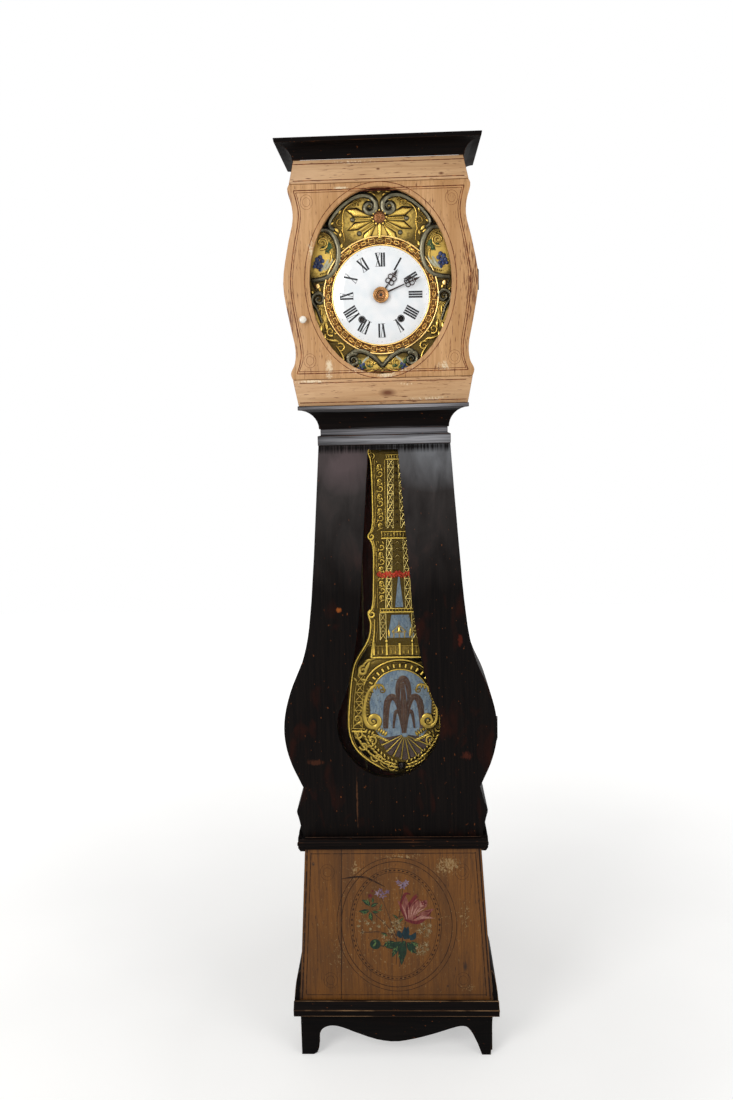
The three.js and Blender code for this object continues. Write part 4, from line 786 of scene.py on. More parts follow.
# Painted shadow: dark brass for the lines along the star's kites.
kite_shadow_brass = embossed_brass(
    "dark brass, painted shadow round the kites", "#3b3018", "#2b2211", "#1b150a", surround_y, 3.0, 0.4, 0.8
)
jewel_copper = embossed_brass(
    "red lacquered brass", "#8f5d33", "#553319", "#231308", surround_y, 8.0, 0.25, 0.7
)
jet_copper = embossed_brass("copper brown lacquer", "#3f2b20", "#302018", "#1b120e", pendulum_y, 3.0, 0.4, 0.3)
print("eleven brasses")

# %% [markdown]
# Leaves, grapes, the garland, the fountain and the sky are oil colours, laid thinly over the brass by hand.
# Oil dries to a soft gloss, so the roughness is 0.45, and it isn't a metal. Brush marks are 6 mm by 18 mm,
# and it has chipped in flakes of 3.5 mm, which show the brass, or dirt, below. One function takes a thick
# tone, a thin one and what shows through the chips.

# %% Oil colours on the brass
def oil_colour(name, thick, thin, bare, wear=0.60):
    """Oil paint, brushed unevenly, through which the ground shows here and there."""
    material, tree, shader, place = new_finish(name, 0.45, **{"Specular IOR Level": 0.2})
    strokes = grain(tree, place, (0.006, 0.006, 0.018), 3.0, 0.4)
    chips = grain(tree, place, (0.0035, 0.0035, 0.0035), 3.0)
    colour = layer(tree, thick, thin, strokes, 0.38, 0.66)
    colour = layer(tree, colour, bare, chips, wear, wear + 0.08)
    surface(tree, shader, colour, strokes, 0.0003)
    return material


leaf_green = oil_colour("leaf green oil", "#1f3d28", "#43653f", "#a58b3c", 0.56)
grape_blue = oil_colour("grape blue oil", "#2b3863", "#4c5c8c", "#8b8055", 0.58)
pale_wash = oil_colour("pale wash", "#c6c8b6", "#a9a98c", "#b39a4c")
# Painted shade: the sky's blue is painted darker throughout, as the lower pendulum lies in shade.
sky_blue_shaded = oil_colour("sky blue oil, painted darker as shade", "#5d6f80", "#7d8b92", "#4c473b", 0.60)
jet_brown = oil_colour("madder brown oil", "#3b2418", "#523b2d", "#5f574a", 0.58)
garland_red = oil_colour("garland red oil", "#a52616", "#d0512c", "#5c2f16", 0.60)
print("six oil colours")

# %% [markdown]
# ## The dial's surround
# The oval of brass has a chain round the dial, a star above it, a pair of long C-scrolls that end in curls
# beside the star's top, a round-ended cartouche on each side with leaves and grapes, and a pair of volutes
# below. Nearly all of it is the same on both sides, so half is written down and mirrored. The chain comes
# first: flat oval links between two borders, long and short by turns. An Array modifier would space copies
# evenly too, but a loop keeps each link a true shape on the circle.

# %% Chain ring around the dial
def on_surround(name, strands, rise, finish=surround_brass, sheet_y=surround_y, sides=2, order=3):
    """Ridges on the dial's surround."""
    return embossed(name, strands, sheet_y, rise, "case", finish, "brass", sides, order)


dial_z = 2044
ring = [oval_strand(0, dial_z, 120.4, 120.4, 1.9, 97), oval_strand(0, dial_z, 141.4, 141.4, 2.2, 97)]
links, link_count = [], 40
for k in range(link_count):
    middle = 360 * k / link_count
    reach = 3.1 if k % 2 else 2.4
    inner, outer = (125.2, 136.4) if k % 2 else (127.4, 134.2)
    corners = [(inner, -reach), (inner, reach), (outer, reach), (outer, -reach)]
    turned = [(radius, math.radians(middle + angle)) for radius, angle in corners]
    link = [(radius * math.cos(angle), dial_z + radius * math.sin(angle), 1.8) for radius, angle in turned]
    links.append(link + [link[0]])
    bar = arc(0, dial_z, 130.8, 130.8, middle + reach, middle + 360 / link_count - 2.4, 3)
    links.append(widths(bar, 1.6, 1.6))
on_surround("chain_ring_borders", ring, 1.1, chain_brass, sheet_y=surround_y - 1.2)
on_surround("chain_ring_links", links, 1.4, chain_brass, sheet_y=surround_y - 1.2, sides=1, order=2)
on_surround("chain_ring_bed", [oval_strand(0, dial_z, 131, 131, 11, 97)], 0.12, chain_brass)
print(len(links), "chain links")

# %% [markdown]
# The star is a round jewel with six kite-shaped rays and bars between them. A kite is one strand of three
# points, widest at its shoulder and with a sharp crest. Two dark lines round it are painted shadow along
# its edges.

# %% Star above the dial
def raised(points, *half_widths):
    """A strand given from the dial's centre."""
    return widths([(x, dial_z + z) for x, z in points], *half_widths)


star_z = dial_z + 186
kites = [
    raised([(-19, 188), (-59, 199), (-84, 207)], 2, 10.5, 0.4),
    raised([(-17, 178), (-57, 167), (-79, 157)], 2, 8.5, 0.4),
    raised([(-9, 169), (-31, 143), (-44, 125)], 2, 9.0, 0.4),
]
on_surround("star_kites", both_sides(kites), 0.55, sides=0, order=2)
kite_edge_shadows = []
for root, shoulder, tip in kites:
    run = math.atan2(tip[1] - root[1], tip[0] - root[0])
    for side in (-1, 1):
        reach = side * (shoulder[2] + 1.0)
        bend = (shoulder[0] - reach * math.sin(run), shoulder[1] + reach * math.cos(run))
        # Painted shadow along each side of a kite.
        kite_edge_shadows.append(widths([root[:2], bend, tip[:2]], 1.1, 1.3, 1.1))
on_surround("star_kite_shadows", both_sides(kite_edge_shadows), 1.2, kite_shadow_brass, sides=0, order=2)
star_bars = [
    raised([(-20, 184), (-58, 183)], 3.2, 2.2),
    raised([(-14, 173), (-46, 153)], 2.8, 2.0),
]
stem = [
    raised([(0, 168), (0, 150), (0, 136)], 5.5, 3.2, 6.5),
    raised([(-11, 133), (0, 135), (11, 133)], 2, 3, 2),
]
on_surround("star_bars", both_sides(star_bars) + stem, 0.8)
star_balls = [(x, dial_z + z, 6.2) for x, z in ((-66, 182), (-50, 149), (66, 182), (50, 149))]
bosses("star_balls", star_balls, surround_y, 0.7, "case", surround_band, "brass")
bosses("star_jewel", [(0, star_z, 17.5)], surround_y, 0.40, "case", jewel_copper, "brass")
petals = [leaf(0, star_z, 45 * k, 14, 3.4) for k in range(8)]
on_surround("star_jewel_petals", petals, 0.9, jewel_copper, sheet_y=surround_y - 5.0)
jewel_beads = [(x, z, 3.2) for x, z in arc(0, star_z, 17, 17, 0, 330, 12)]
bosses("star_jewel_beads", jewel_beads, surround_y - 2, 1.0, "case", surround_brass, "brass")
print(len(kites), "rays on each side")

# %% [markdown]
# The big scrolls are broad grey bands with a thin raised vein along the middle, and small yellow ones curl
# off them. Each is a line of a few points, and most end in a volute. Their widths run from thin to broad and
# back, as a brush draws them.

# %% Scrolls and volutes
top_scroll = [(-112, 160), (-122, 164), (-126, 174), (-116, 192), (-94, 215), (-68, 233), (-44, 241)]
top_scroll += [(-21, 237), (-8, 222)] + volute(-24, 211, 16, 30, -1.6)
panel_edge = [(-44, 226), (-68, 222), (-86, 209), (-92, 192), (-88, 172), (-93, 158), (-86, 146), (-88, 128)]
cartouche = [(-158, 156), (-143, 163), (-127, 160), (-111, 144), (-102, 120), (-102, 94), (-109, 70)]
cartouche += [(-124, 51), (-145, 42), (-170, 41)]
cartouche_inner = [(-146, 151), (-130, 150), (-117, 136), (-111, 114), (-112, 90), (-120, 68), (-134, 56)]
cartouche_inner += [(-152, 52)]
side_volute = [(-148, -62), (-154, -44), (-160, -26)] + volute(-155, -5, 17, 200, -1.5)
low_band = [(0, -172), (-15, -154), (-34, -139), (-58, -131), (-79, -138)] + volute(-73, -156, 17, 60, 1.6)
bands = [
    raised(top_scroll, 6.0, 7.6, 7.8, 6.4, 3.2, 1.6),
    raised(cartouche, 5.4, 7.2, 7.8, 7.2, 5.4),
    raised(side_volute, 4.0, 5.6, 4.6, 1.8),
    raised(low_band, 6.0, 7.4, 6.4, 4.0, 1.8),
    raised([(-150, 30), (-128, 33), (-113, 24)], 2, 4, 1),
    raised([(-160, 14), (-168, 30), (-171, 44)], 1, 2.6, 2),
]
veins = [[(x, z, 0.22 * width) for x, z, width in strand] for strand in bands[:4]]
on_surround("surround_band_veins", both_sides(veins), 0.8, surround_band, sheet_y=surround_y - 5.4, sides=1)
on_surround("surround_bands", both_sides(bands), 0.80, surround_band)
small = [
    raised(panel_edge, 1.4, 2.4, 2.6, 2.0, 1.2),
    raised(volute(-60, 219, 9, 330, 1.4), 2.0, 0.8),
    raised(volute(-97, 176, 9, 90, 1.4), 2.2, 0.9),
    raised(volute(-142, 130, 15, 250, 1.7), 3.4, 1.2),
    raised([(-128, 122), (-119, 104), (-121, 84), (-132, 70)], 1.2, 3.0, 2.6, 1.0),
    raised([(-140, -100), (-126, -108), (-112, -105), (-104, -112)], 1.2, 4.2, 3.4, 1.0),
    raised(volute(-128, -84, 11, 300, -1.3), 3.4, 1.2),
    raised(volute(-104, -124, 11, 120, -1.4), 3.2, 1.2),
    raised([(-116, -118), (-100, -138), (-97, -156), (-86, -182)], 1.5, 3.6, 3.0, 1.0),
    raised(volute(-34, -162, 10, 80, -1.4), 2.6, 1.0),
    raised([(-8, -176), (-24, -183), (-42, -186), (-60, -188)], 2, 3.4, 2.6, 1),
    raised([(-96, 112), (-88, 118), (-79, 113)], 1.2, 3.0, 1.0),
]
on_surround("surround_small_scrolls", both_sides(small), 0.85)
print(len(bands) + len(small), "scrolls on each side")

# %% [markdown]
# Rows of small ridges, called gadroons, follow the oval's edge and the scrolls, and acanthus leaves fill the
# gaps. Each leaf has its numbers in a table: place, direction, length, half width and bend.

# %% Gadroons and acanthus
def at_dial(points):
    """Points given from the dial's centre."""
    return [(x, dial_z + z) for x, z in points]


outer_oval = arc(0, 29 + dial_z, 168, 216, 97, 150, 26)
gadroons = fringe(outer_oval, 5.2, 8.5, 2.0, 88)
gadroons += fringe(at_dial(cartouche_inner), 4.6, 6.0, 1.8, -84)
gadroons += fringe(at_dial(top_scroll[1:8]), 7.5, 7.0, 2.0, -75, 0.2)
gadroons += fringe(at_dial(low_band[:5]), 6.5, 7.0, 2.0, 78, -0.2)
gadroons += fringe(at_dial(side_volute[:3]), 6.0, 9.0, 2.6, -60, 0.3)
on_surround("surround_gadroons", both_sides(gadroons), 0.75, sides=1)
acanthus = [
    leaf(x, dial_z + z, a, length, width, bend)
    for x, z, a, length, width, bend in (
        (-100, 152, 120, 22, 5, 0.3), (-104, 148, 155, 20, 4.5, -0.2), (-98, 140, 75, 18, 4, 0.2),
        (-92, 128, 250, 20, 5, -0.3), (-100, 196, 60, 18, 4, 0.3), (-112, 178, 200, 15, 4, 0.3),
        (-88, 104, 10, 20, 4.4, 0.2), (-78, 122, 320, 18, 4.2, -0.2), (-62, 128, 200, 16, 4, 0.2),
        (-148, -66, 240, 26, 6, 0.3), (-140, -60, 290, 24, 5.4, -0.3), (-158, -60, 250, 18, 4, -0.2),
        (-120, -92, 30, 14, 4, 0.2), (-116, -132, 200, 20, 5, 0.3), (-128, -120, 240, 20, 5, 0.2),
        (-108, -148, 260, 22, 5, 0.2), (-96, -172, 330, 20, 4.4, -0.3), (-140, -88, 250, 22, 5, 0.1),
        (0, -176, 270, 16, 5, 0), (-12, -160, 200, 14, 3.6, 0.3), (0, 242, 90, 10, 6, 0),
        (-8, 236, 130, 14, 3.6, 0.3), (-14, 246, 180, 22, 3.4, 0.1), (-30, 226, 20, 12, 3, -0.3),
        (-150, 12, 100, 14, 4.4, 0.2), (-166, 4, 110, 16, 4, 0.2), (-136, 30, 330, 14, 4, 0.3),
    )
]
on_surround("surround_leaves", both_sides(acanthus), 0.7)
print(len(gadroons) + len(acanthus), "leaves on each side")

# %% [markdown]
# Each cartouche holds green leaves and a bunch of blue grapes, with a small ringed medallion and a stud below
# it. Grapes are flattened balls. The leaves are flatter than the brass ones and wear oil colour.

# %% Medallions, leaves and grapes
medallion = arc(-149, -36 + dial_z, 7, 13, 0, 360, 17)
frame_line = [(x, z, 2.0) for x, z in medallion[:-1]] + [(*medallion[0], 2.0)]
heart = widths([(-149, dial_z - 30), (-149, dial_z - 43)], 2.6, 2.6)
on_surround("surround_medallions", both_sides([frame_line, heart]), 0.9)
studs = [(-157, dial_z + 27, 7.0), (157, dial_z + 27, 7.0)]
bosses("copper_studs", studs, surround_y, 0.6, "case", chain_brass, "brass")
green = [
    leaf(x, dial_z + z, a, length, width, 0.2)
    for x, z, a, length, width in (
        (-130, 132, 300, 22, 6.5), (-124, 126, 250, 22, 6), (-122, 116, 210, 18, 5.5), (-132, 118, 180, 16, 5),
        (-98, -152, 230, 18, 6), (-60, -150, 280, 20, 6), (-68, -140, 240, 14, 4.5), (-40, -176, 150, 18, 5),
        (-24, -172, 160, 16, 4.5), (-90, -178, 350, 20, 4.5),
    )
]
on_surround("surround_green_leaves", both_sides(green), 0.45, leaf_green, sheet_y=surround_y - 0.4)
cluster = [
    (-148, 96, 5.5), (-156, 91, 5.5), (-143, 87, 5.5), (-151, 82, 5.5), (-160, 82, 5), (-146, 75, 5),
    (-155, 73, 5), (-163, 74, 4.5), (-149, 66, 4.5), (-54, -170, 4.5), (-47, -166, 4.2), (-60, -176, 4.2),
    (-50, -176, 4.2), (-78, -184, 4.2),
]
grapes = [(side * x, dial_z + z, r) for x, z, r in cluster for side in (1, -1)]
bosses("surround_grapes", grapes, surround_y, 0.65, "case", grape_blue, "brass")
pale = [
    raised([(-118, 92), (-124, 76), (-138, 64)], 2, 6, 1),
    raised([(-128, 90), (-136, 72), (-150, 60)], 2, 5, 1),
    raised([(-34, -148), (-46, -156), (-52, -166)], 2, 4, 1),
]
on_surround("surround_pale_scrolls", both_sides(pale), 0.5, pale_wash)
print(len(grapes), "grapes")

# %% [markdown]
# Behind all this lies the sheet itself, an oval with a round hole for the dial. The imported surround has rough
# ridges, which would poke through the fine ones, so a plain sheet takes its place: two loops of points are
# bridged, and the ring is extruded by the sheet's thickness.

# %% Sheet of the surround
sheet_z, sheet_half, sheet_half_height, sheet_thickness, dial_radius = 2.073, 0.186, 0.222, 0.0015, 0.1185
sheet_front = -0.05325
sheet = bmesh.new()
outline = bmesh.ops.create_circle(sheet, cap_ends=False, segments=96, radius=1)["verts"]
for vertex in outline:
    vertex.co = (vertex.co.x * sheet_half, sheet_front, vertex.co.y * sheet_half_height + sheet_z)
hole = bmesh.ops.create_circle(sheet, cap_ends=False, segments=96, radius=dial_radius)["verts"]
for vertex in hole:
    vertex.co = (vertex.co.x, sheet_front, vertex.co.y + dial_z * MM)
bmesh.ops.bridge_loops(sheet, edges=sheet.edges)
extruded = bmesh.ops.extrude_face_region(sheet, geom=sheet.faces[:])["geom"]
moved = [v for v in extruded if isinstance(v, bmesh.types.BMVert)]
bmesh.ops.translate(sheet, verts=moved, vec=(0, sheet_thickness, 0))
sheet = from_bmesh("surround_sheet", sheet)
finished(sheet, "case", surround_sheet, slot="brass", stands_for=["dial_surround"])
print("sheet", 2000 * sheet_half, "by", 2000 * sheet_half_height, "mm")

# %% [markdown]
# ## The enamel dial
# The dial is slightly domed, so it catches the window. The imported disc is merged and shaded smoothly. Its
# hours are Roman, tall and narrow, each standing on the centre, with thick and thin strokes, fired in a black
# that is glossy, 0.25, and thin in places. Text objects would need a font that has such letters and would
# stay flat. Instead a stroke is a grid that is stretched and sheared to a slanted bar and then laid onto the
# dome, 0.06 mm proud of it. The winding holes get iron rims.

# %% Dial and strokes
worn_copy("enamel_dial", enamel, None, 0.0003, "enamel")
ink, tree, shader, place = new_finish("fired black", 0.25)
thin_ink = grain(tree, place, (0.002, 0.002, 0.002), 2.0)
surface(tree, shader, layer(tree, "#17171b", "#34343b", thin_ink, 0.5, 0.75), thin_ink, 0.0001)


def dome_y(radius):
    """The dial's front at a distance from its centre, both in millimetres."""
    rim_y, dome = -53.55 - 2, 7
    return rim_y - dome * (1 - (radius / 118.5) ** 2)


def stroke(shape, low, high, width, hour):
    """A bar of one numeral, from low to high (x, height from the centre), turned to its hour."""
    (low_x, low_z), (high_x, high_z) = low, high
    bar = bmesh.ops.create_grid(shape, x_segments=1, y_segments=6, size=0.5)["verts"]
    turn = Matrix.Rotation(math.radians(30 * hour), 3, "Y")
    for vertex in bar:
        share = vertex.co.y + 0.5
        x = low_x + (high_x - low_x) * share + vertex.co.x * width
        z = low_z + (high_z - low_z) * share
        vertex.co = turn @ Vector((x, dome_y(math.hypot(x, z)) - 0.06, z)) * MM
        vertex.co.z += dial_z * MM


print("dial ready for its hours")

# %% [markdown]
# A letter is one thick stroke, or a thick and a thin one that lean against each other, with a serif at each
# end. Every hour is set out at twelve and then turned to its place. Short bars mark the minutes.

# %% Numerals and minutes
letter_widths = {"I": 6.0, "V": 12.2, "X": 12.8}
foot, head, thick, thin, margin = 68.5, 101.5, 4.5, 1.4, 1.6
numerals = bmesh.new()
for hour, text in enumerate("XII I II III IIII V VI VII VIII IX X XI".split()):
    place_x = -sum(letter_widths[letter] for letter in text) / 2
    for letter in text:
        width = letter_widths[letter]
        left, middle, right = place_x + margin, place_x + width / 2, place_x + width - margin
        if letter == "I":
            stroke(numerals, (middle, foot), (middle, head), thick, hour)
        if letter == "V":
            stroke(numerals, (middle, foot), (left, head), thick, hour)
            stroke(numerals, (middle, foot), (right, head), thin, hour)
        if letter == "X":
            stroke(numerals, (right, foot), (left, head), thick, hour)
            stroke(numerals, (left, foot), (right, head), thin, hour)
        for level in (foot, head):
            stroke(numerals, (middle, level - 0.4), (middle, level + 0.4), width - 0.9, hour)
        place_x += width
for minute in range(60):
    size = 1.5 if minute % 5 == 0 else 0.8
    stroke(numerals, (0, 111.5), (0, 111.5 + size), size, minute / 5)
bmesh.ops.solidify(numerals, geom=numerals.faces, thickness=0.00005)
finished(from_bmesh("dial_numerals", numerals), "case", ink, slot="enamel")
holes = [[(side * 48 + x, z, 1.0) for x, z in arc(0, 1987, 8.2, 8.2, 0, 345, 24)] for side in (1, -1)]
holes = [hole + [hole[0]] for hole in holes]
embossed("winding_hole_rims", holes, dome_y(74) + 0.2, 0.9, "case", forged_iron, "black_iron")
print("numerals fired")

# %% [markdown]
# ## The hands
# Each hand is a flat blade with a four-lobed piece of openwork before its arrow tip. It is steel that was once
# blued by heat and has browned since, an oxide skin with little shine. A blade could be cut from a plate with
# booleans. As strands it gets the round edges that a file leaves, and it is drawn upright and then turned to
# the time in the photograph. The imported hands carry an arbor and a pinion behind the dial, so the rear part
# of each is cut off and kept.

# %% Blades and arbors
def blade(node, reach, loops_at, lobe, angle, front_y):
    """An openwork blade that points at an angle, clockwise from twelve."""
    strands = [widths([(0, 14), (0, loops_at - lobe * 1.5)], 2.3, 1.3)]
    for side_x, side_z in ((-1, -0.9), (1, -0.9), (-1, 0.9), (1, 0.9)):
        middle_x, middle_z = side_x * lobe * 0.62, loops_at + side_z * lobe * 0.72
        circle = arc(middle_x, middle_z, lobe * 0.62, lobe * 0.70, 0, 360, 13)
        strands.append([(x, z, 1.25) for x, z in circle[:-1]] + [(*circle[0], 1.25)])
    strands.append(widths([(0, loops_at - lobe * 1.4), (0, loops_at + lobe * 1.5)], 1.1, 1.1))
    tip = loops_at + lobe * 1.45
    strands.append(widths([(0, tip), (0, tip + 5), (0, tip + 13), (0, reach)], 1.0, 4.2, 1.1, 0.3))
    strands += [leaf(0, tip + 1, a, 7.5, 1.6, b) for a, b in ((150, 0.3), (30, -0.3))]
    turned = math.radians(angle)
    cosine, sine = math.cos(turned), math.sin(turned)
    laid = []
    for strand in strands:
        laid.append([(x * cosine + z * sine, dial_z + z * cosine - x * sine, width) for x, z, width in strand])
    embossed(node + "_blade", laid, front_y + 0.7, 0.55, node, hand_steel, "blue_steel")


def cut_front(shape, cut_y):
    """Cuts off what lies in front of a plane at cut_y, and returns the edges of the cut."""
    everything = shape.verts[:] + shape.edges[:] + shape.faces[:]
    plane = {"plane_co": (0, cut_y * MM, 0), "plane_no": (0, -1, 0), "clear_outer": True}
    cut = bmesh.ops.bisect_plane(shape, geom=everything, **plane)["geom_cut"]
    return [e for e in cut if isinstance(e, bmesh.types.BMEdge)]


def arbor(node, cut_y):
    """The part of a packed hand that lies behind its blade."""
    shape = merged_copy(node)
    bmesh.ops.holes_fill(shape, edges=cut_front(shape, cut_y), sides=0)
    bmesh.ops.triangulate(shape, faces=[f for f in shape.faces if len(f.verts) > 4])
    finished(from_bmesh(node + "_arbor", shape), node, wheel_brass, slot="brass", stands_for=[node])


hand_steel = oil_colour("browned steel", "#1c1110", "#33201b", "#4a2d22", 0.80)
hour_angle, minute_angle = 35, 67.5
blade("hour_hand", 74, 44, 8.6, hour_angle, -65.35)
blade("minute_hand", 106, 76, 8.2, minute_angle, -68.15)
arbor("hour_hand", -64.0)
arbor("minute_hand", -66.8)
print("hands at", hour_angle, "and", minute_angle, "degrees")

# %% [markdown]
# A turned collet of copper-coloured brass holds the hands on. Its profile is drawn once, as a lathe hand would
# cut it, and spun round the arbor. The raised rings and the pin's end lie on it as ridges and a boss.

# %% Collet
profile = [
    (0, -71.2), (3.4, -71.2), (4.2, -69.4), (6.0, -69.2), (7.0, -70.9), (9.0, -71.1), (10.4, -69.4),
    (12.4, -68.9), (13.6, -70.2), (15.6, -70.9), (18.0, -70.2), (19.4, -69.0), (19.4, -68.2), (0, -68.2),
]
collet = bmesh.new()
line = [collet.verts.new((radius * MM, y * MM, 0)) for radius, y in profile]
edges = [collet.edges.new(pair) for pair in zip(line, line[1:])]
bmesh.ops.spin(
    collet, geom=line + edges, cent=(0, 0, 0), axis=(0, 1, 0), dvec=(0, 0, 0), angle=math.tau, steps=64,
    use_merge=True,
)
bmesh.ops.remove_doubles(collet, verts=collet.verts, dist=1e-6)
bmesh.ops.translate(collet, verts=collet.verts, vec=(0, 0, dial_z * MM))
collet_brass = metal("copper-coloured collet brass", "#c98f5c", "#6b4026", 0.26, 0.0012)
finished(from_bmesh("minute_hand_collet", collet), "minute_hand", collet_brass, slot="brass", sharp=50)
ring_sizes = ((17.4, 2.0), (12.4, 1.5), (8.0, 1.3))
rings = [oval_strand(0, dial_z, radius, radius, half_width) for radius, half_width in ring_sizes]
hub_brass = embossed_brass("gilded hub brass", "#dba66a", "#8a5530", "#412314", -70.0, 1.4)
embossed("minute_hand_rings", rings, -69.9, 0.9, "minute_hand", hub_brass, "brass")
bosses("minute_hand_pin", [(0, dial_z, 4.2)], -70.4, 0.5, "minute_hand", forged_iron, "black_iron")
print(len(rings), "rings on the collet")

# %% [markdown]
# ## The pendulum
# Behind the trunk's opening hangs a wide sheet of embossed and painted brass: a garden trellis with galleries
# and X-bracing rises from a wall and an arch, and a fountain plays in front of a painted sky. Scrolled borders
# frame it, and a beaded rim runs along its edge. The scene is symmetrical about the pendulum's axis, 28 mm
# right of the middle, so again half is drawn and mirrored. The rim comes first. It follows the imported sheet's
# outline, given as shares of its height and half width.

# %% The pendulum's rim
def on_pendulum(name, strands, rise, finish=pendulum_brass, sheet_y=pendulum_y, sides=2, order=3):
    """Ridges on the pendulum's sheet."""
    return embossed(name, strands, sheet_y, rise, "pendulum", finish, "brass", sides, order)


axis_x, pendulum_low, pendulum_height, pendulum_half = 28, 795, 911, 144
pendulum_shares = [
    (0.017, 0.37), (0.046, 0.68), (0.083, 0.896), (0.12, 0.985), (0.165, 1.0), (0.233, 0.965), (0.325, 0.896),
    (0.361, 0.785), (0.407, 0.583), (0.45, 0.54), (0.466, 0.55), (0.484, 0.60), (0.50, 0.49), (0.60, 0.472),
    (0.69, 0.455), (0.71, 0.59), (0.73, 0.46), (0.83, 0.465), (0.93, 0.47), (0.95, 0.55), (0.965, 0.50),
]


def pendulum_edge(inset):
    """The left edge of the sheet, moved in by so many millimetres."""
    left = axis_x + inset
    return [(left - half * pendulum_half, pendulum_low + up * pendulum_height) for up, half in pendulum_shares]


rims = [widths(pendulum_edge(4.0), 3.0, 3.0), widths(pendulum_edge(10.0), 1.3, 1.3)]
on_pendulum("pendulum_rim", both_sides(rims, axis_x), 0.8)
beaded = fringe(pendulum_edge(7.4), 5.0, 4.2, 1.5, 90)
on_pendulum("pendulum_rim_beads", both_sides(beaded, axis_x), 0.8, sides=1)
print(len(beaded), "beads on each side")

# %% [markdown]
# The borders on both sides of the trellis are columns of small volutes with leaves between two thin lines.
# The volutes curl left and right by turns. Large curls stick out where the sheet is wider.

# %% The pendulum's borders
border = []
for step_index, z in enumerate(range(1280, 1640, 19)):
    if 1420 < z < 1466:
        continue
    way = 1 if step_index % 2 else -1
    border.append(widths([(-23, z - 13)] + volute(-14, z, 8.6, -90 - 60 * way, 1.2 * way), 1.8, 2.9, 1.2))
    border.append(leaf(-14 + 6 * way, z + 5, 70 * way + 20, 13, 3.0, 0.3 * way))
    border.append(leaf(-20, z + 8, 110, 10, 2.2, -0.2))
for low, high in ((1252, 1428), (1466, 1640)):
    border.append(widths([(-27, low), (-27, high)], 1.5, 1.5))
    border.append(widths([(-2, low), (-1, high)], 2.2, 1.8))
curls = [
    widths([(-31, 1490), (-31, 1466), (-38, 1456)] + volute(-40, 1441, 10, 80, 1.5), 2.0, 3.6, 3.2, 1.2),
    widths([(-31, 1390), (-31, 1420), (-36, 1430)], 1.6, 2.6, 2.2),
    widths([(-33, 1290), (-34, 1262), (-42, 1250)] + volute(-43, 1236, 11, 80, 1.5), 2.0, 3.8, 3.4, 1.2),
    widths([(-47, 1120), (-43, 1150), (-37, 1185), (-36, 1222)], 4.5, 3.6, 3.2, 2.4),
    widths([(-38, 1122), (-34, 1160), (-28, 1200), (-27, 1230)], 1.4, 1.6, 1.6, 1.2),
    widths(volute(-36, 1650, 9, 300, 1.4), 3.0, 1.0),
]
curls += fringe([(-43, 1150), (-37, 1185), (-35, 1225)], 8, 8, 2.2, 60, 0.3)
on_pendulum("pendulum_borders", both_sides(border + curls, axis_x), 0.8, sides=1)
print(len(border) + len(curls), "border scrolls on each side")

# %% [markdown]
# The trellis is a garden tower of thin laths in two stages that narrow upwards. Each leg is two posts with
# crossed laths and rungs between them. A Wireframe modifier would give laths too, but all of one width, while
# here posts, crosses and rungs differ. Straight strands have an order of 2, which keeps their corners.

# %% The trellis
def post(stage, z, offset):
    """A point (x, z) on the left side of a stage, moved in by an offset."""
    low, high, low_half, high_half, _ = stage
    half = low_half + (high_half - low_half) * (z - low) / (high - low)
    return axis_x - half + offset, z


stages = ((1250, 1436, 34, 28, 7), (1462, 1642, 26, 20, 8))
leg = 16
trellis = []
for stage in stages:
    low, high, _, _, cells = stage
    trellis.append(widths([post(stage, low, 0), post(stage, high, 0)], 2.0, 1.7))
    trellis.append(widths([post(stage, low, leg), post(stage, high, leg - 2)], 1.7, 1.4))
    rise = (high - low) / cells
    for cell in range(cells):
        foot_z, head_z = low + cell * rise, low + (cell + 1) * rise
        trellis.append(widths([post(stage, foot_z, 1), post(stage, head_z, leg - 2)], 1.7, 1.7))
        trellis.append(widths([post(stage, foot_z, leg - 1), post(stage, head_z, 1)], 1.7, 1.7))
        trellis.append(widths([post(stage, head_z, 0), post(stage, head_z, leg)], 1.9, 1.9))
middle = []
for z in range(1474, 1636, 18):
    middle.append(widths([(axis_x - 3, z), (axis_x, z + 7), (axis_x + 3, z)], 1.0, 1.4, 1.0))
for z in (1364, 1382, 1400, 1418):
    middle.append(widths([(axis_x - 11, z), (axis_x, z + 10), (axis_x + 11, z)], 1.2, 1.6, 1.2))
for side in (-1, 1):
    for x in (34, 50):
        middle.append(widths([(axis_x + side * x, 1166), (axis_x + side * x, 1238)], 1.8, 1.8))
    for z in (1167, 1191, 1215):
        near, far = axis_x + side * 34, axis_x + side * 50
        middle.append(widths([(near, z), (far, z + 23)], 1.35, 1.35))
        middle.append(widths([(far, z), (near, z + 23)], 1.35, 1.35))
        middle.append(widths([(near, z + 23), (far, z + 23)], 1.5, 1.5))
on_pendulum("pendulum_trellis", both_sides(trellis, axis_x) + middle, 1.2, trellis_brass, sides=1, order=2)
print(len(trellis) * 2 + len(middle), "trellis bars")

# %% [markdown]
# Three galleries cross the trellis. A baluster is a short strand that is thick in its middle.

# %% The galleries
galleries = []
for z, half, height, spacing in ((1640, 26, 11, 7), (1436, 42, 17, 8), (1241, 50, 9, 8)):
    galleries.append(widths([(axis_x - half, z), (axis_x + half, z)], 2.8, 2.8))
    galleries.append(widths([(axis_x - half, z + height), (axis_x + half, z + height)], 2.0, 2.0))
    count = int(2 * half / spacing)
    for k in range(count + 1):
        x = axis_x - half + 2 + (2 * half - 4) * k / count
        galleries.append(widths([(x, z + 2), (x, z + height / 2), (x, z + height - 1)], 1.1, 1.9, 1.1))
on_pendulum("pendulum_galleries", galleries, 1.3, sides=1, order=2)
print(len(galleries), "rails and balusters")

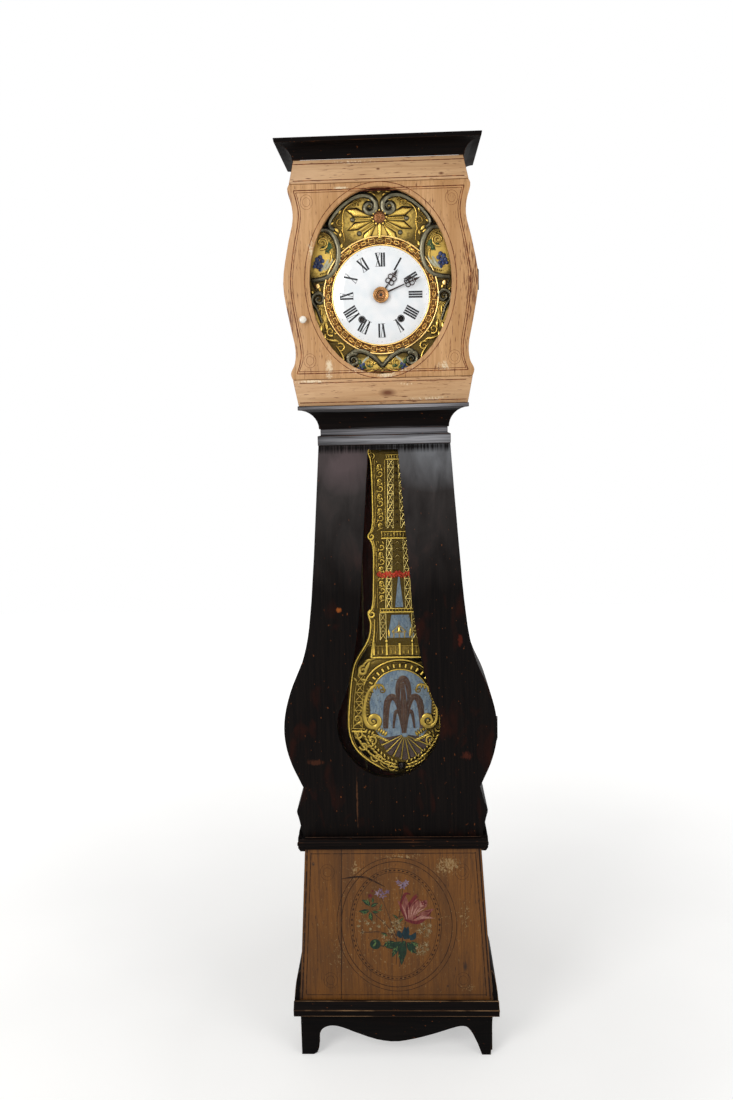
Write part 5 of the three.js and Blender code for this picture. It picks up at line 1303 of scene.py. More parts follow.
# %% [markdown]
# Below the trellis stand a wall with pilasters and urns and an arch of wedge-shaped stones, with the sky in
# it. The arch is three arcs about one centre, and its stones are short strands that point at that centre.

# %% The wall and the arch
arch_z = 1009
wall = [
    widths([(-48, 1119), (104, 1119)], 3.2, 3.2),
    widths([(-44, 1126), (100, 1126)], 1.2, 1.2),
    widths([(-44, 1150), (100, 1150)], 1.6, 1.6),
]
for k in range(13):
    x = -40 + k * 11.4
    if k % 3 == 0:
        wall.append(widths([(x, 1126), (x, 1158)], 4.2, 3.6))
    else:
        wall.append(widths([(x, 1127), (x, 1133), (x, 1140), (x, 1149)], 1.3, 2.6, 1.6, 1.6))
wall += [widths(arc(axis_x, arch_z, r, r, 20, 160, 31), w, w) for r, w in ((77, 2.6), (103, 2.8), (96, 1.0))]
for k in range(13):
    angle = math.radians(28 + k * 10.35)
    stone = [(axis_x + r * math.cos(angle), arch_z + r * math.sin(angle)) for r in (83, 93)]
    wall.append(widths(stone, 3.4, 4.2))
on_pendulum("pendulum_wall", wall, 0.9, sides=1, order=2)
urns = [(-40 + k * 11.4, 1163, 4.6) for k in (0, 3, 9, 12)]
urns += [(x, 1169, 2.0) for x, _, _ in urns]
bosses("pendulum_wall_urns", urns, pendulum_y, 0.8, "pendulum", pendulum_brass, "brass")
print(len(wall), "pieces of wall")

# %% [markdown]
# A braced pier stands left and right of the arch, and a great C-scroll with leaves leans on each. The scroll
# stands 4 mm proud, the most of all. Its brass is painted darker as painted shade, as is all that lies round
# the bulb.

# %% Piers and great scrolls
pier = [
    widths([(-99, 925), (-94, 1010), (-84, 1082)], 1.8, 1.6, 1.4),
    widths([(-76, 925), (-72, 1010), (-66, 1070)], 1.8, 1.6, 1.4),
    widths([(-103, 918), (-66, 916)], 3.4, 3.4),
    widths([(-103, 926), (-68, 924)], 1.6, 1.6),
]
for k in range(6):
    z = 930 + 24 * k
    left, right = -98 + 2.4 * k, -76 + 1.6 * k
    pier.append(widths([(left, z), (right, z + 22)], 1.5, 1.5))
    pier.append(widths([(right, z), (left + 2, z + 22)], 1.5, 1.5))
    pier.append(widths([(left, z + 22), (right, z + 22)], 1.7, 1.7))
on_pendulum("pendulum_piers", both_sides(pier, axis_x), 1.2, sides=1, order=2)
great_scroll = [(-14, 1028), (-16, 1041), (-28, 1046), (-46, 1040), (-59, 1022), (-66, 1000), (-70, 972)]
great_scroll += [(-68, 948)] + volute(-45, 946, 19, 215, 1.7)
scrolls = [
    widths(great_scroll, 3.0, 5.0, 7.0, 8.0, 7.6, 5.0, 3.2, 1.6),
    widths(great_scroll[1:8], 1.0, 2.0, 2.2, 1.2),
    widths(volute(-20, 1030, 8, 20, -1.2), 2.6, 1.0),
]
scrolls += fringe(great_scroll[2:8], 9, 14, 4.0, 55, 0.35)
scrolls += fringe(great_scroll[3:8], 10, 13, 3.4, -50, -0.35)
on_pendulum("pendulum_great_scrolls", both_sides(scrolls, axis_x), 0.55, shaded_bulb_brass)
eyes = [(-45, 946, 5.0), (-20, 1030, 2.6)]
eyes += [(2 * axis_x - x, z, radius) for x, z, radius in eyes]
bosses("pendulum_scroll_eyes", eyes, pendulum_y, 0.8, "pendulum", shaded_bulb_brass, "brass")
print(len(pier) + len(scrolls), "strands of pier and scroll on each side")

# %% [markdown]
# The sky shows in the arch, under the trellis and in a narrow slit. It is flat blue oil paint, so each part is
# one outline, filled and extruded by a quarter of a millimetre. A small pavilion stands in front of it.

# %% Sky and pavilion
sky = arc(axis_x, arch_z, 75, 75, 20, 160, 25) + [(-54, 1000), (-52, 960), (-44, 925), (-20, 890), (76, 890)]
sky += [(100, 925), (108, 960), (110, 1000)]
sky_y = pendulum_y - 0.25
flat_patch("painted_sky_arch", sky, sky_y - 0.25, 0.25, "pendulum", sky_blue_shaded, "brass")
upper_sky = [(axis_x - 19, 1233), (axis_x - 31, 1172), (axis_x + 40, 1172), (axis_x + 26, 1233)]
flat_patch("painted_sky_upper", upper_sky, sky_y - 0.2, 0.25, "pendulum", sky_blue_shaded, "brass")
slit = [(axis_x + 2, 1350), (axis_x - 9, 1254), (axis_x + 12, 1254)]
flat_patch("painted_sky_slit", slit, sky_y - 0.2, 0.25, "pendulum", sky_blue_shaded, "brass")
pavilion = [
    widths([(axis_x - 14, 1172), (axis_x - 14, 1186)], 1.6, 1.6),
    widths([(axis_x + 14, 1172), (axis_x + 14, 1186)], 1.6, 1.6),
    widths([(axis_x, 1172), (axis_x, 1186)], 1.6, 1.6),
    widths([(axis_x - 19, 1187), (axis_x + 19, 1187)], 1.6, 1.6),
    widths([(axis_x - 18, 1188), (axis_x, 1206), (axis_x + 18, 1188)], 1.8, 1.8, 1.8),
    widths([(axis_x, 1190), (axis_x, 1203)], 7.0, 1.0),
    widths([(axis_x, 1206), (axis_x, 1222)], 1.3, 0.5),
    leaf(axis_x - 26, 1172, 95, 26, 4.0), leaf(axis_x + 28, 1172, 85, 30, 4.0),
]
on_pendulum("pendulum_pavilion", pavilion, 0.9, sheet_y=sky_y, sides=1, order=2)
print(len(pavilion), "strands of pavilion")

# %% [markdown]
# The fountain's jets were painted brown, and copper lacquer shows in streaks along them. A jet is a broad, low
# ridge that rises, bends and falls. Its streak is the same strand once more, a fifth as wide.

# %% Fountain
fountain_x = 36
jets = [
    widths([(36, 912), (36, 960), (36, 1010), (35, 1050)], 7.0, 10.0, 9.0, 4.0),
    widths(
        [(22, 990), (20, 1025), (26, 1054), (36, 1064), (46, 1054), (52, 1025), (50, 990)],
        4.4, 8.6, 8.6, 8.6, 4.4,
    ),
    widths([(28, 960), (26, 985), (24, 1010)], 2.0, 4.0, 2.0),
    widths([(44, 960), (46, 985), (48, 1010)], 2.0, 4.0, 2.0),
]
for side in (-1, 1):
    near = [(5, 925), (11, 980), (20, 1008), (32, 1013), (42, 1002), (47, 975), (49, 925)]
    low = [(4, 920), (8, 955), (16, 975), (24, 968), (28, 925)]
    jets.append(widths([(fountain_x + side * x, z) for x, z in near], 3.6, 7.6, 9.4, 9.4, 7.4))
    jets.append(widths([(fountain_x + side * x, z) for x, z in low], 2.4, 5.0, 5.4, 3.2))
on_pendulum("fountain_jets", jets, 0.30, jet_brown, sheet_y=sky_y)
streaks = [[(x, z, 0.20 * width) for x, z, width in strand] for strand in jets]
on_pendulum("fountain_streaks", streaks, 0.6, jet_copper, sheet_y=sky_y - 2.3, sides=1)
drop_places = ((12, 1030), (20, 1024), (52, 960), (50, 1000))
drops = [(fountain_x + side * x, z, 2.0) for x, z in drop_places for side in (-1, 1)]
bosses("fountain_drops", drops, sky_y, 0.7, "pendulum", jet_brown, "brass")
print(len(jets), "jets and", len(drops), "drops")

# %% [markdown]
# The fountain falls into a shell: nine brown lobes that spread from one point, with bright ribs between them
# and a pearl at the end of each rib.

# %% Shell
shell_x, shell_z = 38, 908
lobes, ribs = [], []
for k in range(9):
    angle = math.radians(196 + k * 18.5)
    reach = 66 if k % 2 else 70
    tip = (shell_x + reach * math.cos(angle), shell_z + reach * math.sin(angle))
    root = (shell_x + 8 * math.cos(angle), shell_z + 8 * math.sin(angle))
    lobes.append(widths([root, tip], 1.6, 9.5, 11.5, 9.0))
    between = angle + math.radians(9.2)
    rib_tip = (shell_x + 66 * math.cos(between), shell_z + 66 * math.sin(between))
    if k < 8:
        ribs.append(widths([root, rib_tip], 1.2, 2.6))
on_pendulum("shell_lobes", lobes, 0.22, jet_copper, sheet_y=sky_y)
on_pendulum("shell_ribs", ribs, 1.4, shaded_bulb_brass, sheet_y=sky_y - 0.6)
pearl_angles = [math.radians(205 + k * 18.5) for k in range(8)]
pearls = [(shell_x + 68 * math.cos(angle), shell_z + 68 * math.sin(angle), 3.4) for angle in pearl_angles]
bosses("shell_pearls", pearls, sky_y, 0.9, "pendulum", shaded_bulb_brass, "brass")
print(len(lobes), "lobes,", len(ribs), "ribs and", len(pearls), "pearls")

# %% [markdown]
# Leaves crowd the bulb's lower edge in several rows that lean against each other, and sprays of single leaves
# and volutes fill the corners below the wall.

# %% Foliage round the bulb
foliage = []
for k, (x, z) in enumerate(pendulum_edge(24)[:5]):
    foliage.append(widths(volute(x + 4, z + 6, 12, 120 + 35 * k, 1.4), 4.0, 1.6))
lower_rim = [(20, 812), (2, 815), (-18, 824), (-40, 838), (-58, 853), (-76, 873), (-88, 893), (-95, 910)]
inner_rim = [(14, 826), (-6, 834), (-24, 846), (-40, 862), (-54, 880), (-64, 900)]
foliage += fringe(lower_rim, 9, 17, 4.6, -35, 0.4)
foliage += fringe(inner_rim, 10, 16, 4.4, 40, -0.4)
foliage += fringe(inner_rim, 12, 13, 3.8, -70, 0.3)
foliage += fringe([(-96, 905), (-70, 912), (-48, 905)], 9, 14, 4.2, 60, 0.3)
foliage += fringe([(-48, 922), (-32, 912), (-14, 900)], 7, 17, 4.4, 75, 0.3)
foliage += fringe([(-50, 904), (-32, 896), (-16, 888)], 7, 14, 4.4, 55, -0.3)
foliage += [
    widths(
        [(-96, 905), (-80, 884), (-58, 872), (-44, 880)] + volute(-50, 893, 11, -20, 1.3), 2.4, 4.0, 3.0, 1.0
    ),
    widths([(16, 806), (-10, 812), (-30, 826)] + volute(-34, 842, 10, -60, 1.4), 2.4, 3.8, 3.0, 1.0),
    widths([(-36, 1116), (-52, 1113), (-70, 1100)] + volute(-70, 1084, 13, 70, 1.4), 2.0, 5.0, 4.4, 1.4),
    leaf(-50, 1110, 235, 30, 5.0, 0.3), leaf(-58, 1104, 262, 34, 4.6, -0.25),
    leaf(-84, 1068, 80, 26, 5.0, -0.3), leaf(-76, 1062, 330, 20, 4.4, 0.3), leaf(-44, 1112, 165, 20, 4.0, 0.4),
    leaf(-88, 1056, 120, 14, 3.6, 0.2),
]
foliage_y = pendulum_y - 1.0
on_pendulum("pendulum_foliage", both_sides(foliage, axis_x), 0.6, shaded_bulb_brass, sheet_y=foliage_y, sides=1)
print(len(foliage), "sprays of foliage on each side")

# %% [markdown]
# A red garland hangs across the trellis in swags, with leaves on both sides of a sagging line. The sheet
# itself comes last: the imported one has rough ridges, so what stands in front of its flat face is cut off and
# the cut is closed.

# %% Red garland and the sheet behind
swag = []
for left, right in ((-24, 2), (2, 28)):
    line = [(left + (right - left) * t / 6, 1346 - 9 * math.sin(math.pi * t / 6)) for t in range(7)]
    swag += fringe(line, 4.2, 8.5, 2.6, 50, 0.3) + fringe(line, 4.2, 8.5, 2.6, -50, -0.3)
swag.append(leaf(0, 1350, 250, 22, 4.0, 0.2))
on_pendulum("red_garland", both_sides(swag, axis_x), 0.9, garland_red, sheet_y=sky_y - 0.6, sides=1)
sheet = merged_copy("pendulum_front")
bmesh.ops.triangle_fill(sheet, use_beauty=True, edges=cut_front(sheet, pendulum_y + 0.05))
sheet = from_bmesh("pendulum_sheet", sheet)
finished(sheet, "pendulum", pendulum_sheet, slot="brass", stands_for=["pendulum_front"])
print(len(swag), "leaves on each side of the garland")

# %% [markdown]
# ## Painted lines
# The case maker drew thin dark lines along the edges of the door, the rails and the base, and ovals round the
# opening and the flowers. They could be part of the pine's finish, but a line that turns corners is easier to
# draw than to compute. So the same strands do for it, pressed almost flat: a line of paint stands a tenth of a
# millimetre proud. It is matt oil colour, 0.6, dark red on the hood and brown on the base, and noise in spots
# of 12 to 16 mm lets the wood through where it has worn.

# %% Lines on the hood
line_red, tree, shader, place = new_finish("dark red line", 0.6, **{"Specular IOR Level": 0.15})
gaps = grain(tree, place, (0.012, 0.012, 0.012), 4.0)
surface(tree, shader, layer(tree, "#54200f", "#9a6038", gaps, 0.48, 0.66), None, 0)
line_black, tree, shader, place = new_finish("dark brown line", 0.6, **{"Specular IOR Level": 0.15})
gaps = grain(tree, place, (0.016, 0.016, 0.016), 4.0)
surface(tree, shader, layer(tree, "#22130b", "#55361d", gaps, 0.52, 0.68), None, 0)


def painted(name, strands, front_y, body, finish, slot, rise=0.1, lift=0.0):
    """Brush strokes on a flat front."""
    return embossed(name, strands, front_y - lift, rise, body, finish, slot, 1)


hood_front, door_low, door_height, door_half = -96.25, 1842, 462, 236.5
door_shares = [
    (0.0, 0.934), (0.035, 0.951), (0.085, 0.908), (0.16, 0.896), (0.31, 0.95), (0.498, 1.0), (0.688, 0.942),
    (0.823, 0.88), (0.894, 0.887), (0.974, 0.926), (1.0, 0.909),
]
door_lines = []
for inset, half_width in ((15, 1.3), (20, 0.8)):
    side = [(-half * door_half + inset, door_low + up * door_height) for up, half in door_shares[1:-1]]
    side[0] = (side[0][0], door_low + inset)
    side[-1] = (side[-1][0], door_low + door_height - inset)
    door_lines += both_sides([widths(side, half_width, half_width)])
    for z in (door_low + inset, door_low + door_height - inset):
        near = [(x, line_z) for x, line_z in (side[0], side[-1]) if abs(line_z - z) < 1][0][0]
        door_lines.append(widths([(near, z), (0, z), (-near, z)], half_width, half_width))
painted("door_lines", door_lines, hood_front, "hood_door", line_red, "hood_pine")
oval_line = oval_strand(0, 2073, 184, 231, 1.0)
corner_rings = []
for side in (-1, 1):
    for x, z in ((177, 1888), (174, 2262)):
        corner_rings += [oval_strand(side * x, z, radius, radius * 1.15, 0.4, 25) for radius in (9, 15)]
painted("door_oval_line", [oval_line] + corner_rings, hood_front, "hood_door", line_red, "hood_pine")
rail_lines = [
    widths([(-205, z), (-60, z), (60, z), (205, z)], 1.2, 0.9, 1.2) for z in (1786, 1834, 2311, 2349)
]
painted("rail_lines", rail_lines, hood_front, "case", line_red, "hood_pine")
print("hood lined")

# %% [markdown]
# The base has a border line on all four sides, two plain ovals and a dotted double one, and rings in the
# corners. A freehand brush drew them, so they are a little wider at their ends, where it was set down.

# %% Lines on the base
base_front = -61.25


def on_base(name, strokes, finish, rise=0.1, lift=0.0):
    """Brush strokes on the front of the base."""
    return painted(name, strokes, base_front, "case", finish, "base_pine", rise, lift)


border_lines = [
    widths([(-219, 589), (0, 589), (219, 589)], 1.2, 1.0, 1.2),
    widths([(-246, 179), (0, 179), (246, 179)], 1.2, 0.8, 1.2),
    widths([(-220, 592), (-234, 385), (-247, 176)], 1.4, 1.1, 1.4),
    widths([(220, 592), (234, 385), (247, 176)], 1.4, 1.1, 1.4),
    widths([(-230, 603), (-243, 385), (-258, 166)], 2.6, 1.6, 3.0),
    widths([(230, 603), (243, 385), (258, 166)], 2.6, 2.0, 3.0),
]
on_base("base_border_lines", border_lines, line_black)
ovals = [
    oval_strand(6, 384, 162, 194, 0.9),
    oval_strand(6, 384, 150, 182, 1.1),
    oval_strand(3, 384, 124, 162, 0.8),
    oval_strand(3, 384, 113, 152, 0.7),
]
for x, z in ((-178, 536), (-178, 222), (184, 536), (184, 222)):
    ovals += [oval_strand(x, z, radius, radius * 1.2, 0.45, 25) for radius in (11, 19)]
on_base("base_ovals", ovals, line_black)
dots, dot_count = [], 64
for k in range(dot_count):
    angle = 2 * math.pi * k / dot_count
    x, z = 3 + 118.5 * math.cos(angle), 384 + 157 * math.sin(angle)
    slant = (3.0 * math.sin(angle), -3.0 * math.cos(angle))
    dots.append([(x - slant[0], z - slant[1], 2.4), (x + slant[0], z + slant[1], 1.6)])
on_base("base_oval_dots", dots, line_black)
print(len(dots), "dots")

# %% [markdown]
# ## The bouquet
# Inside the ovals a bouquet was painted freehand: one big rose, leaves in two greens, small lilac and white
# flowers and thin stalks. A picture as a texture would be the usual way. Here each petal and leaf is one brush
# stroke, as the painter laid it, and later strokes lie a little higher, so they cover earlier ones. The oil
# colours are old: faded, thin, and chipped down to the brown wood.

# %% Colours of the bouquet
petal_pink = oil_colour("rose pink oil", "#6a3733", "#8c594c", "#6b3f24", 0.60)
petal_red = oil_colour("rose madder oil", "#4a1318", "#6a2527", "#7a4a2c", 0.68)
petal_light = oil_colour("pale rose oil", "#b08577", "#94665a", "#6b3f24", 0.58)
lilac = oil_colour("lilac oil", "#5d4a62", "#8d7b88", "#6f4c2c", 0.54)
chalk_white = oil_colour("chalk white oil", "#958666", "#6f5b3a", "#62431f", 0.46)
deep_green = oil_colour("dark green oil", "#0b1c14", "#1a3322", "#3f3018", 0.64)
fresh_green = oil_colour("fresh green oil", "#3b5c31", "#5d7542", "#6a4b28", 0.56)
blue_green = oil_colour("blue green oil", "#0c1c22", "#18333a", "#2f2a19", 0.66)
stalk_brown = oil_colour("brown stalk oil", "#2b1b12", "#46301b", "#7d5a34", 0.60)
print("nine colours on the palette")

# %% [markdown]
# Stalks come first, then dark leaves and, over them, blue-green ones. Each dark leaf is a row of numbers, and
# the same row gives its fresh green veins: one along the middle and, on large leaves, four that branch off.

# %% Stalks and leaves
stalks = [
    widths([(12, 262), (14, 300), (22, 350), (30, 392)], 0.8, 1.2, 1.0),
    widths([(2, 268), (6, 310), (4, 360), (16, 420), (24, 488)], 0.8, 1.0, 0.8),
    widths([(8, 330), (-10, 370), (-36, 400), (-62, 424)], 1.1, 0.9, 0.8),
    widths([(4, 350), (-12, 400), (-24, 440), (-34, 462)], 1.0, 0.8, 0.7),
    widths([(-6, 355), (-40, 366), (-72, 362), (-90, 364)], 1.0, 0.9, 0.7),
    widths([(0, 405), (16, 408), (34, 412)], 0.8, 1.2, 0.8),
    widths([(26, 330), (50, 338), (70, 326)], 0.9, 0.8, 0.7),
    widths([(44, 350), (64, 356), (82, 372)], 0.9, 0.8, 0.7),
    widths([(-24, 322), (-36, 322), (-46, 326)], 1.4, 1.0, 1.2),
    widths([(24, 300), (20, 286), (26, 268)], 0.6, 0.9, 0.5),
]
stalks = [[(x, z, 1.5 * half_width) for x, z, half_width in stalk] for stalk in stalks]
on_base("bouquet_stalks", stalks, stalk_brown, 0.12)
leaf_table = [
    (26, 338, 256, 70, 14, 0.12), (18, 334, 215, 44, 12, -0.25), (-2, 334, 190, 32, 10, 0.25),
    (34, 332, 300, 40, 12, 0.15), (44, 334, 330, 26, 8, -0.2), (10, 326, 238, 40, 9, 0.1),
    (-66, 440, 115, 24, 8, 0.5), (-62, 436, 50, 20, 6, -0.4), (-68, 426, 205, 26, 8, -0.4),
    (-64, 420, 262, 24, 7, 0.3), (-58, 424, 330, 16, 5, 0.3), (-58, 448, 75, 15, 4, 0.2),
    (-40, 430, 45, 16, 2.6, 0.3), (-46, 424, 30, 14, 2.2, -0.3), (-20, 352, 140, 18, 4, 0.3),
    (10, 400, 120, 20, 3.6, 0.3), (14, 392, 60, 18, 3.2, -0.2),
]
greens = [leaf(*row) for row in leaf_table]
greens += [oval_strand(-53, 328, 8, 8, 8.0, 13)]
on_base("bouquet_dark_leaves", greens, deep_green, 0.02, 0.10)
veins = []
for x, z, angle, length, half_width, bend in leaf_table:
    veins.append(widths([point[:2] for point in leaf(x, z, angle, length * 0.9, 1, bend)], 0.5, 1.0, 0.4))
    if half_width > 6:
        for lean in (-38, 38):
            for share in (0.3, 0.55):
                along = math.radians(angle)
                root_x, root_z = x + share * length * math.cos(along), z + share * length * math.sin(along)
                veins.append(leaf(root_x, root_z, angle + lean, half_width * 1.05, 1.4, 0.2))
veins += [leaf(-60, 322, 30, 14, 3.2, 0.5), leaf(-50, 336, 150, 10, 1.6, 0.4)]
on_base("bouquet_leaf_lights", veins, fresh_green, 0.04, 0.22)
blues = [
    leaf(28, 342, 80, 36, 12, 0.2), leaf(18, 346, 120, 24, 9, -0.2), leaf(42, 340, 40, 26, 9, 0.3),
    leaf(34, 352, 100, 26, 8, -0.3), leaf(30, 346, 10, 20, 6, 0.3),
]
on_base("bouquet_blue_leaves", blues, blue_green, 0.02, 0.20)
print(len(greens) + len(blues), "leaves")

# %% [markdown]
# The rose is laid in three coats, as a painter does it: a pink body of broad petals, darker madder strokes in
# their folds, and thin pale strokes for the lit edges.

# %% Rose
rose = [
    leaf(30, 398, 80, 78, 11, 0.22), leaf(44, 392, 84, 70, 14, -0.12), leaf(58, 392, 52, 60, 13, -0.25),
    leaf(36, 396, 100, 62, 10, 0.25), leaf(52, 396, 30, 46, 11, -0.3), leaf(62, 426, 62, 38, 11, -0.2),
    leaf(46, 398, 66, 64, 12, 0.1), leaf(74, 432, 40, 26, 8, 0.3),
]
on_base("bouquet_rose", rose, petal_pink, 0.02, 0.10)
shades = [
    widths([(18, 440), (24, 464), (34, 478), (44, 472)], 1.6, 5.4, 1.8),
    widths([(26, 410), (16, 434), (20, 458), (36, 476)], 1.6, 4.4, 2.0),
    widths([(34, 402), (35, 430), (46, 453), (64, 466)], 2.0, 8.0, 2.2),
    widths([(28, 400), (54, 387), (80, 397), (99, 420)], 3.0, 7.6, 1.4),
    widths([(50, 400), (66, 412), (84, 410)], 1.4, 4.6, 1.2),
    widths([(44, 430), (54, 450), (68, 458)], 1.0, 2.6, 1.0),
    widths([(60, 404), (72, 400), (88, 410)], 1.0, 2.6, 0.8),
    widths([(40, 440), (50, 462), (62, 472)], 1.6, 5.0, 1.6),
    widths([(48, 404), (50, 424), (60, 440)], 1.0, 2.8, 1.0),
    widths([(82, 424), (90, 420), (98, 426)], 1.0, 3.0, 0.8),
    widths([(22, 430), (24, 416), (30, 404)], 1.4, 3.4, 1.6),
    widths([(70, 428), (76, 446), (72, 458)], 0.8, 2.4, 0.8),
]
on_base("bouquet_rose_shades", shades, petal_red, 0.03, 0.22)
lights = [
    leaf(34 + 5 * k, 400 + 3 * k, 96 - 9 * k, 44 - 3 * k, 2.0, 0.1 * (2 - k)) for k in range(6)
]
lights += [leaf(56 + 6 * k, 398 + k, 44 - 7 * k, 28, 1.5, -0.25) for k in range(5)]
lights += [leaf(70, 436, 80 - 22 * k, 18, 1.3, 0.2) for k in range(4)]
on_base("bouquet_rose_lights", lights, petal_light, 0.05, 0.36)
print(len(rose) + len(shades) + len(lights), "strokes of the rose")

# %% [markdown]
# The small flowers are rings of leaf strokes round a point: lilac ones on top, red buds beside the rose, and
# white ones like chamomile. Dark eyes sit in the larger ones. Last, a dark line follows a split in the board
# that was filled long ago.

# %% Small flowers and the repaired split
def flower(x, z, reach, half_width, petals, start=0.0):
    """Petals round a point, the first one at a starting angle."""
    return [leaf(x, z, start + 360 * k / petals, reach, half_width, 0.15) for k in range(petals)]


lilacs = []
for x, z, reach, petals in (
    (24, 498, 13, 6), (12, 507, 8, 5), (34, 506, 9, 5), (-30, 470, 12, 6), (-44, 475, 9, 5), (-18, 480, 8, 5),
    (-36, 484, 7, 5),
):
    lilacs += flower(x, z, reach, reach * 0.27, petals, 7 * x)
on_base("bouquet_lilac", lilacs, lilac, 0.05, 0.10)
reds = flower(-64, 468, 8, 2.6, 5) + flower(80, 446, 9, 3.0, 5) + flower(-58, 482, 4, 1.6, 4)
on_base("bouquet_small_red", reds, petal_red, 0.05, 0.30)
whites = flower(6, 388, 18, 4.0, 7) + flower(-10, 366, 12, 3.0, 6, 15) + flower(12, 372, 10, 2.4, 5, 30)
chamomiles = (
    (80, 376, 14), (93, 366, 11), (69, 366, 11), (85, 352, 10), (94, 382, 9), (74, 388, 8),
    (72, 318, 13), (85, 328, 10), (65, 303, 11), (78, 304, 9), (60, 318, 8), (88, 314, 7),
)
for k, (x, z, reach) in enumerate(chamomiles):
    whites += flower(x, z, reach, 1.3, 9, 17 * k)
for x, z, reach in (
    (-88, 364, 8), (-97, 380, 6), (-72, 388, 7), (-56, 392, 6), (-80, 398, 6), (-30, 350, 8),
    (-18, 338, 7), (-42, 380, 6), (-28, 392, 6), (-94, 396, 5), (-66, 372, 5), (-10, 348, 5),
):
    whites += flower(x, z, reach, 1.9, 5, z)
on_base("bouquet_white", whites, chalk_white, 0.05, 0.14)
eyes = [(6, 388, 3.2), (24, 498, 2.6), (-30, 470, 2.4), (-88, 364, 3.0), (80, 376, 2.0), (72, 318, 2.0)]
eyes += [(-10, 366, 2.2)]
bosses("bouquet_eyes", eyes, base_front, 0.22, "case", stalk_brown, "base_pine")
split = [widths([(-139, 517), (-110, 523), (-77, 523), (-48, 508), (-24, 494)], 1.4, 3.6, 1.0)]
on_base("base_repaired_split", split, line_black, 0.05)
print(len(lilacs) + len(reds) + len(whites), "petals")

# %% [markdown]
# ## The ropes
# Each weight hangs from a laid hemp rope that winds onto its barrel. Three strands twist round each other, so
# the cross section is a trefoil that turns as it climbs, once in 80 mm. A Screw modifier would make it, and so
# does a spin that also moves along its axis, in one call.


def laid_rope(name, node):
    """A three-strand rope in place of a packed one."""
    low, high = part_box(node)
    crest, groove = 0.00285, 0.0024
    shape = bmesh.new()
    ring = bmesh.ops.create_circle(shape, cap_ends=False, segments=12, radius=1)["verts"]
    for k, vertex in enumerate(ring):
        vertex.co *= crest if k % 4 in (0, 1) else groove
    middle_x, middle_y = (low.x + high.x) / 2, (low.y + high.y) / 2
    bmesh.ops.translate(shape, verts=shape.verts, vec=(middle_x, middle_y, low.z))
    turns = 60
    steps = turns * 4
    rise = high.z - low.z
    bmesh.ops.spin(
        shape, geom=shape.verts[:] + shape.edges[:], cent=(middle_x, middle_y, 0), axis=(0, 0, 1),
        dvec=(0, 0, rise / steps), angle=turns * math.tau / 3, steps=steps, use_merge=False,
    )
    loose = [e for e in shape.edges if e.is_boundary]
    bmesh.ops.holes_fill(shape, edges=loose, sides=0)
    rope = from_bmesh(name, shape)
    finished(rope, nodes[node]["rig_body"], hemp, slot="hemp", stands_for=[node], sharp=80)
    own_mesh(rope)
    print(name, round(rise, 3), "m")


laid_rope("going_rope_strands", "going_rope")
laid_rope("strike_rope_strands", "strike_rope")

# %% [markdown]
# ## Floor and light
# The clock stands on a plain pale floor. To the camera, and in mirrors and glass, everything behind it is
# white. Brighter lamps would do that too, but they would bleach the clock. Here Light Path decides what a ray
# is for, so the white background adds no light to the object, and the floor fades to white away from the
# clock but keeps its shadow.

# %% Floor and world
def seen_share(tree):
    """One for rays that the camera sees straight, in a mirror or through glass, and none for others."""
    path = tree.nodes.new("ShaderNodeLightPath").outputs
    seen = {0: path["Is Camera Ray"], 1: path["Is Glossy Ray"]}
    seen = {0: add_node(tree, "ShaderNodeMath", seen, operation="MAXIMUM"), 1: path["Is Transmission Ray"]}
    return add_node(tree, "ShaderNodeMath", seen, operation="MAXIMUM")


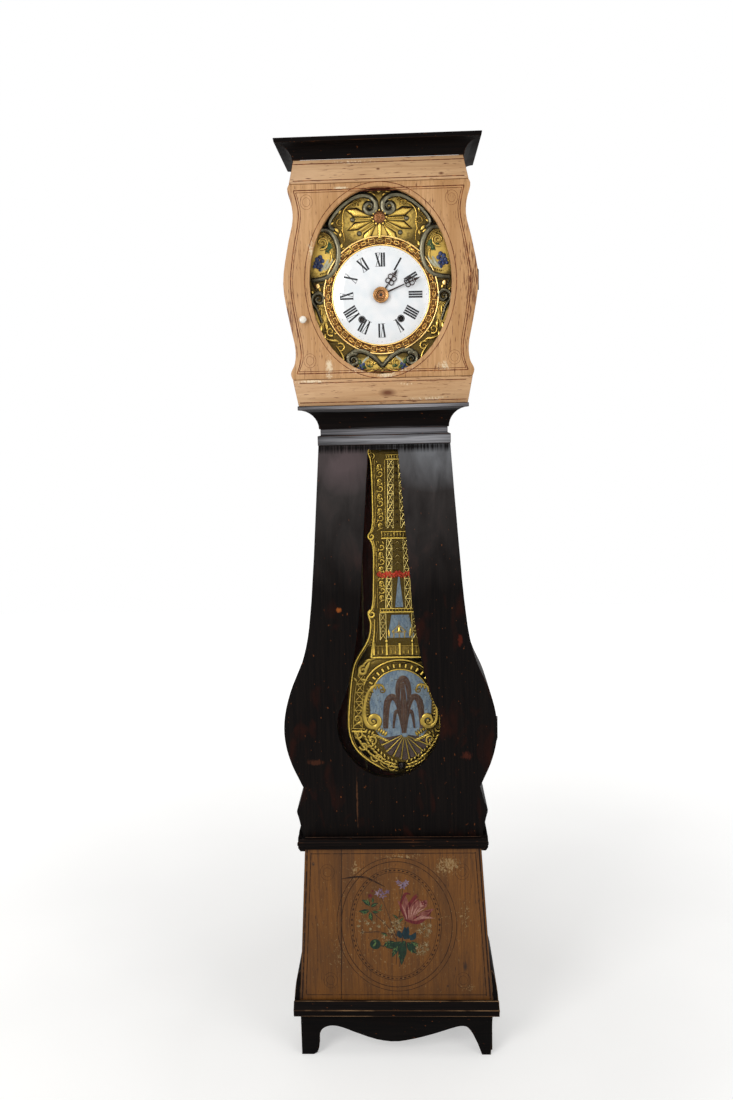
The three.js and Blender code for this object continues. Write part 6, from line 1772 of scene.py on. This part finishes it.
shape = bmesh.new()
bmesh.ops.create_grid(shape, x_segments=1, y_segments=1, size=6.0)
floor = from_bmesh("floor", shape)
paper, tree, shader, place = new_finish("pale floor", 0.8, **{"Emission Color": "#ffffff"})
mottle = grain(tree, place, (0.5, 0.5, 0.5), 2.0)
surface(tree, shader, layer(tree, "#d9d8d5", "#d3d2cf", mottle, 0.3, 0.7), None, 0)
away = add_node(tree, "ShaderNodeVectorMath", {0: place}, operation="LENGTH")
fade = {"Value": away, "From Min": 0.6, "From Max": 3.0, "To Min": 0.42, "To Max": 0.80}
away = add_node(tree, "ShaderNodeMapRange", fade)
glow = add_node(tree, "ShaderNodeMath", {0: seen_share(tree), 1: away}, operation="MULTIPLY")
tree.links.new(glow, shader.inputs["Emission Strength"])
floor.data.materials.append(paper)
floor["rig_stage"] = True

world = bpy.data.worlds.new("studio")
bpy.context.scene.world = world
world.use_nodes = True
tree = world.node_tree
strength = add_node(tree, "ShaderNodeMapRange", {"Value": seen_share(tree), "To Min": 0.34, "To Max": 1.0})
tree.links.new(strength, tree.nodes["Background"].inputs["Strength"])
tree.nodes["Background"].inputs["Color"].default_value = linear("#ffffff")
print("floor and world are white")

# %% [markdown]
# One large soft lamp stands left of the camera, as the window did, a second one fills from the right, and a
# third lifts the top. Their power is plain: a colour comes out about as it was written, which the Standard
# view keeps so. Small lamps would make harder shadows than the photograph has.

# %% Lamps
def area_lamp(name, place, aim, size, watts):
    """A soft rectangular lamp that looks at a point."""
    lamp = bpy.data.objects.new(name, bpy.data.lights.new(name, "AREA"))
    lamp.data.shape = "RECTANGLE"
    lamp.data.size, lamp.data.size_y = size
    lamp.data.energy = watts
    lamp.location = place
    lamp.rotation_euler = (Vector(aim) - Vector(place)).to_track_quat("-Z", "Y").to_euler()
    bpy.context.scene.collection.objects.link(lamp)


area_lamp("window light", (-1.9, -2.6, 2.5), (0, 0, 1.2), (1.4, 2.0), 60)
area_lamp("fill light", (2.2, -2.2, 1.7), (0, 0, 1.0), (1.6, 2.2), 23)
area_lamp("top light", (0.2, -0.6, 3.9), (0, 0, 1.2), (1.6, 1.2), 18)
bpy.context.scene.view_settings.view_transform = "Standard"
print("three lamps")

# %% [markdown]
# ## The size
# The dressed clock's box is measured, and its size is printed. The dressed clock has to stay inside the
# imported one's box.

# %% Print the size
low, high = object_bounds()
print("size", [round(h - l, 4) for l, h in zip(low, high)])
